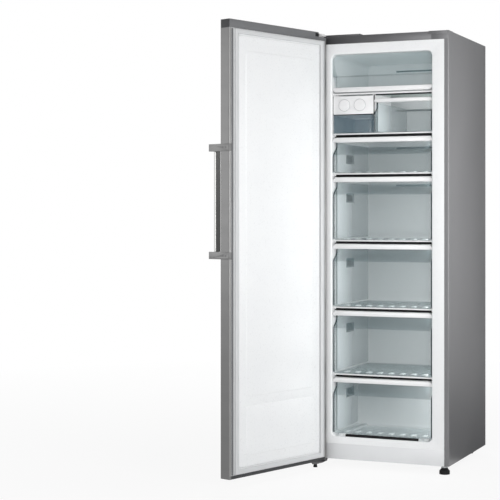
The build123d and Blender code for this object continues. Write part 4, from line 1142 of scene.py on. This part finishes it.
def shown_rays(tree):
    """A node that gives 1 to rays of the camera, a gloss or a clear piece, and 0 to the light itself."""
    path = add(tree, "LightPath")
    seen = add(
        tree, "Math", {0: path.outputs["Is Camera Ray"], 1: path.outputs["Is Glossy Ray"]},
        operation="MAXIMUM",
    )
    return add(
        tree, "Math", {0: seen, 1: path.outputs["Is Transmission Ray"]}, operation="MAXIMUM"
    )


def floor_paint():
    """Pale paint that the camera sees nearly white, wholly white far off, and that keeps the shadow."""
    material, tree, place = blank("pale_floor")
    away = add(tree, "VectorMath", {0: place}, operation="LENGTH").outputs["Value"]
    share = add(tree, "MapRange", {
        "Value": away, "From Min": 1.0, "From Max": 4.5, "To Min": 0.9, "To Max": 1.0,
    })
    part = add(tree, "Math", {0: shown_rays(tree), 1: share}, operation="MULTIPLY")
    pale = add(tree, "BsdfDiffuse", {"Color": "#f2f2f2"})
    white = add(tree, "Emission", {"Color": "#ffffff", "Strength": 1.0})
    mixed = add(tree, "MixShader", {0: part, 1: pale, 2: white})
    add(tree, "OutputMaterial", {"Surface": mixed})
    return material


def floor():
    """The pale floor the freezer stands on."""
    form = bmesh.new()
    bmesh.ops.create_grid(form, x_segments=1, y_segments=1, size=8.0)
    mesh = bpy.data.meshes.new("floor")
    form.to_mesh(mesh)
    form.free()
    made = bpy.data.objects.new("floor", mesh)
    mesh.materials.append(floor_paint())
    bpy.context.scene.collection.objects.link(made)


def soft_lamp(name, place, target, size, power):
    """A soft box that faces a point and doesn't show to the camera."""
    data = bpy.data.lights.new(name, "AREA")
    data.shape = "RECTANGLE"
    data.size, data.size_y = size
    data.energy = power
    lamp = bpy.data.objects.new(name, data)
    lamp.location = place
    lamp.rotation_euler = (Vector(target) - Vector(place)).to_track_quat("-Z", "Y").to_euler()
    lamp.visible_camera = False
    bpy.context.scene.collection.objects.link(lamp)


def dark_card():
    """A dark card behind the freezer, standing and lying, that only gloss sees: it shades the metal."""
    form = bmesh.new()
    bmesh.ops.create_grid(form, x_segments=1, y_segments=1, size=1.0)
    form.transform(Matrix.Diagonal((1.3, 1.5, 1.0, 1.0)))
    # the lying part: a hair over the floor, from the standing part forward to the cabinet
    left, right, low, reach = -1.2, 1.3, -1.29, 2.7
    corners = ((left, low, reach), (right, low, reach), (right, low, 0.0), (left, low, 0.0))
    form.faces.new([form.verts.new(corner) for corner in corners])
    mesh = bpy.data.meshes.new("dark_card")
    form.to_mesh(mesh)
    form.free()
    card = bpy.data.objects.new("dark_card", mesh)
    card.location = (-0.1, 3.0, 1.3)
    card.rotation_euler = (math.radians(90.0), 0.0, 0.0)
    material = bpy.data.materials.new("dark_card_cloth")
    material.use_nodes = True
    tree = material.node_tree
    tree.nodes.clear()
    cloth = add(tree, "BsdfDiffuse", {"Color": "#1e1e1e"})
    add(tree, "OutputMaterial", {"Surface": cloth})
    mesh.materials.append(material)
    card.visible_camera = False
    card.visible_diffuse = False
    card.visible_transmission = False
    card.visible_shadow = False
    bpy.context.scene.collection.objects.link(card)


def studio():
    """The room round the freezer: white where it is seen, a faint even light for the rest."""
    world = bpy.data.worlds.new("studio")
    bpy.context.scene.world = world
    world.use_nodes = True
    sky = world.node_tree
    sky.nodes.clear()
    ambient = add(sky, "Background", {"Color": "#f4f6fa", "Strength": 0.16})
    white = add(sky, "Background", {"Color": "#ffffff", "Strength": 1.0})
    both = add(sky, "MixShader", {0: shown_rays(sky), 1: ambient, 2: white})
    add(sky, "OutputWorld", {"Surface": both})


def photograph_camera():
    """The photograph's view: a level camera, shifted in its lens so that upright edges stay upright."""
    frame_px, focal_px = 500.0, 1367.08
    level_point_px = (300.0, 214.69)
    sensor_mm = 36.0
    data = bpy.data.cameras.new("camera")
    data.sensor_width = sensor_mm
    data.lens = focal_px * sensor_mm / frame_px
    data.shift_x = (frame_px / 2 - level_point_px[0]) / frame_px
    data.shift_y = (level_point_px[1] - frame_px / 2) / frame_px
    camera = bpy.data.objects.new("camera", data)
    camera.location = (1.8957, -5.4651, 1.0794)
    camera.rotation_euler = (math.radians(90.0), 0.0, math.radians(22.516))
    bpy.context.scene.collection.objects.link(camera)
    bpy.context.scene.camera = camera


floor()
soft_lamp("front_box", (0.8, -4.4, 1.5), (0.0, 0.1, 1.0), (2.4, 2.0), 68.0)
soft_lamp("right_front_box", (3.4, -2.3, 1.8), (-0.2, 0.0, 1.0), (1.8, 2.0), 64.0)
# a narrow lamp close to the right side, for the bright upright stretch of its paint
soft_lamp("right_strip", (0.8, -0.1, 1.2), (0.2975, 0.4, 1.2), (0.25, 1.2), 4.5)
soft_lamp("left_box", (-3.0, -1.5, 1.4), (-0.3, 0.0, 1.1), (1.6, 1.6), 9.0)
# a tall lamp tucked inside the right wall, for the light that a white compartment holds
soft_lamp("inside_card", (0.205, 0.17, 0.86), (-0.2, 0.19, 0.86), (0.28, 1.42), 2.6)
soft_lamp("back_box", (-1.5, 3.6, 2.2), (0.0, 0.5, 1.0), (1.8, 1.8), 55.0)
dark_card()
studio()
photograph_camera()
bpy.context.scene.view_settings.view_transform = "Standard"
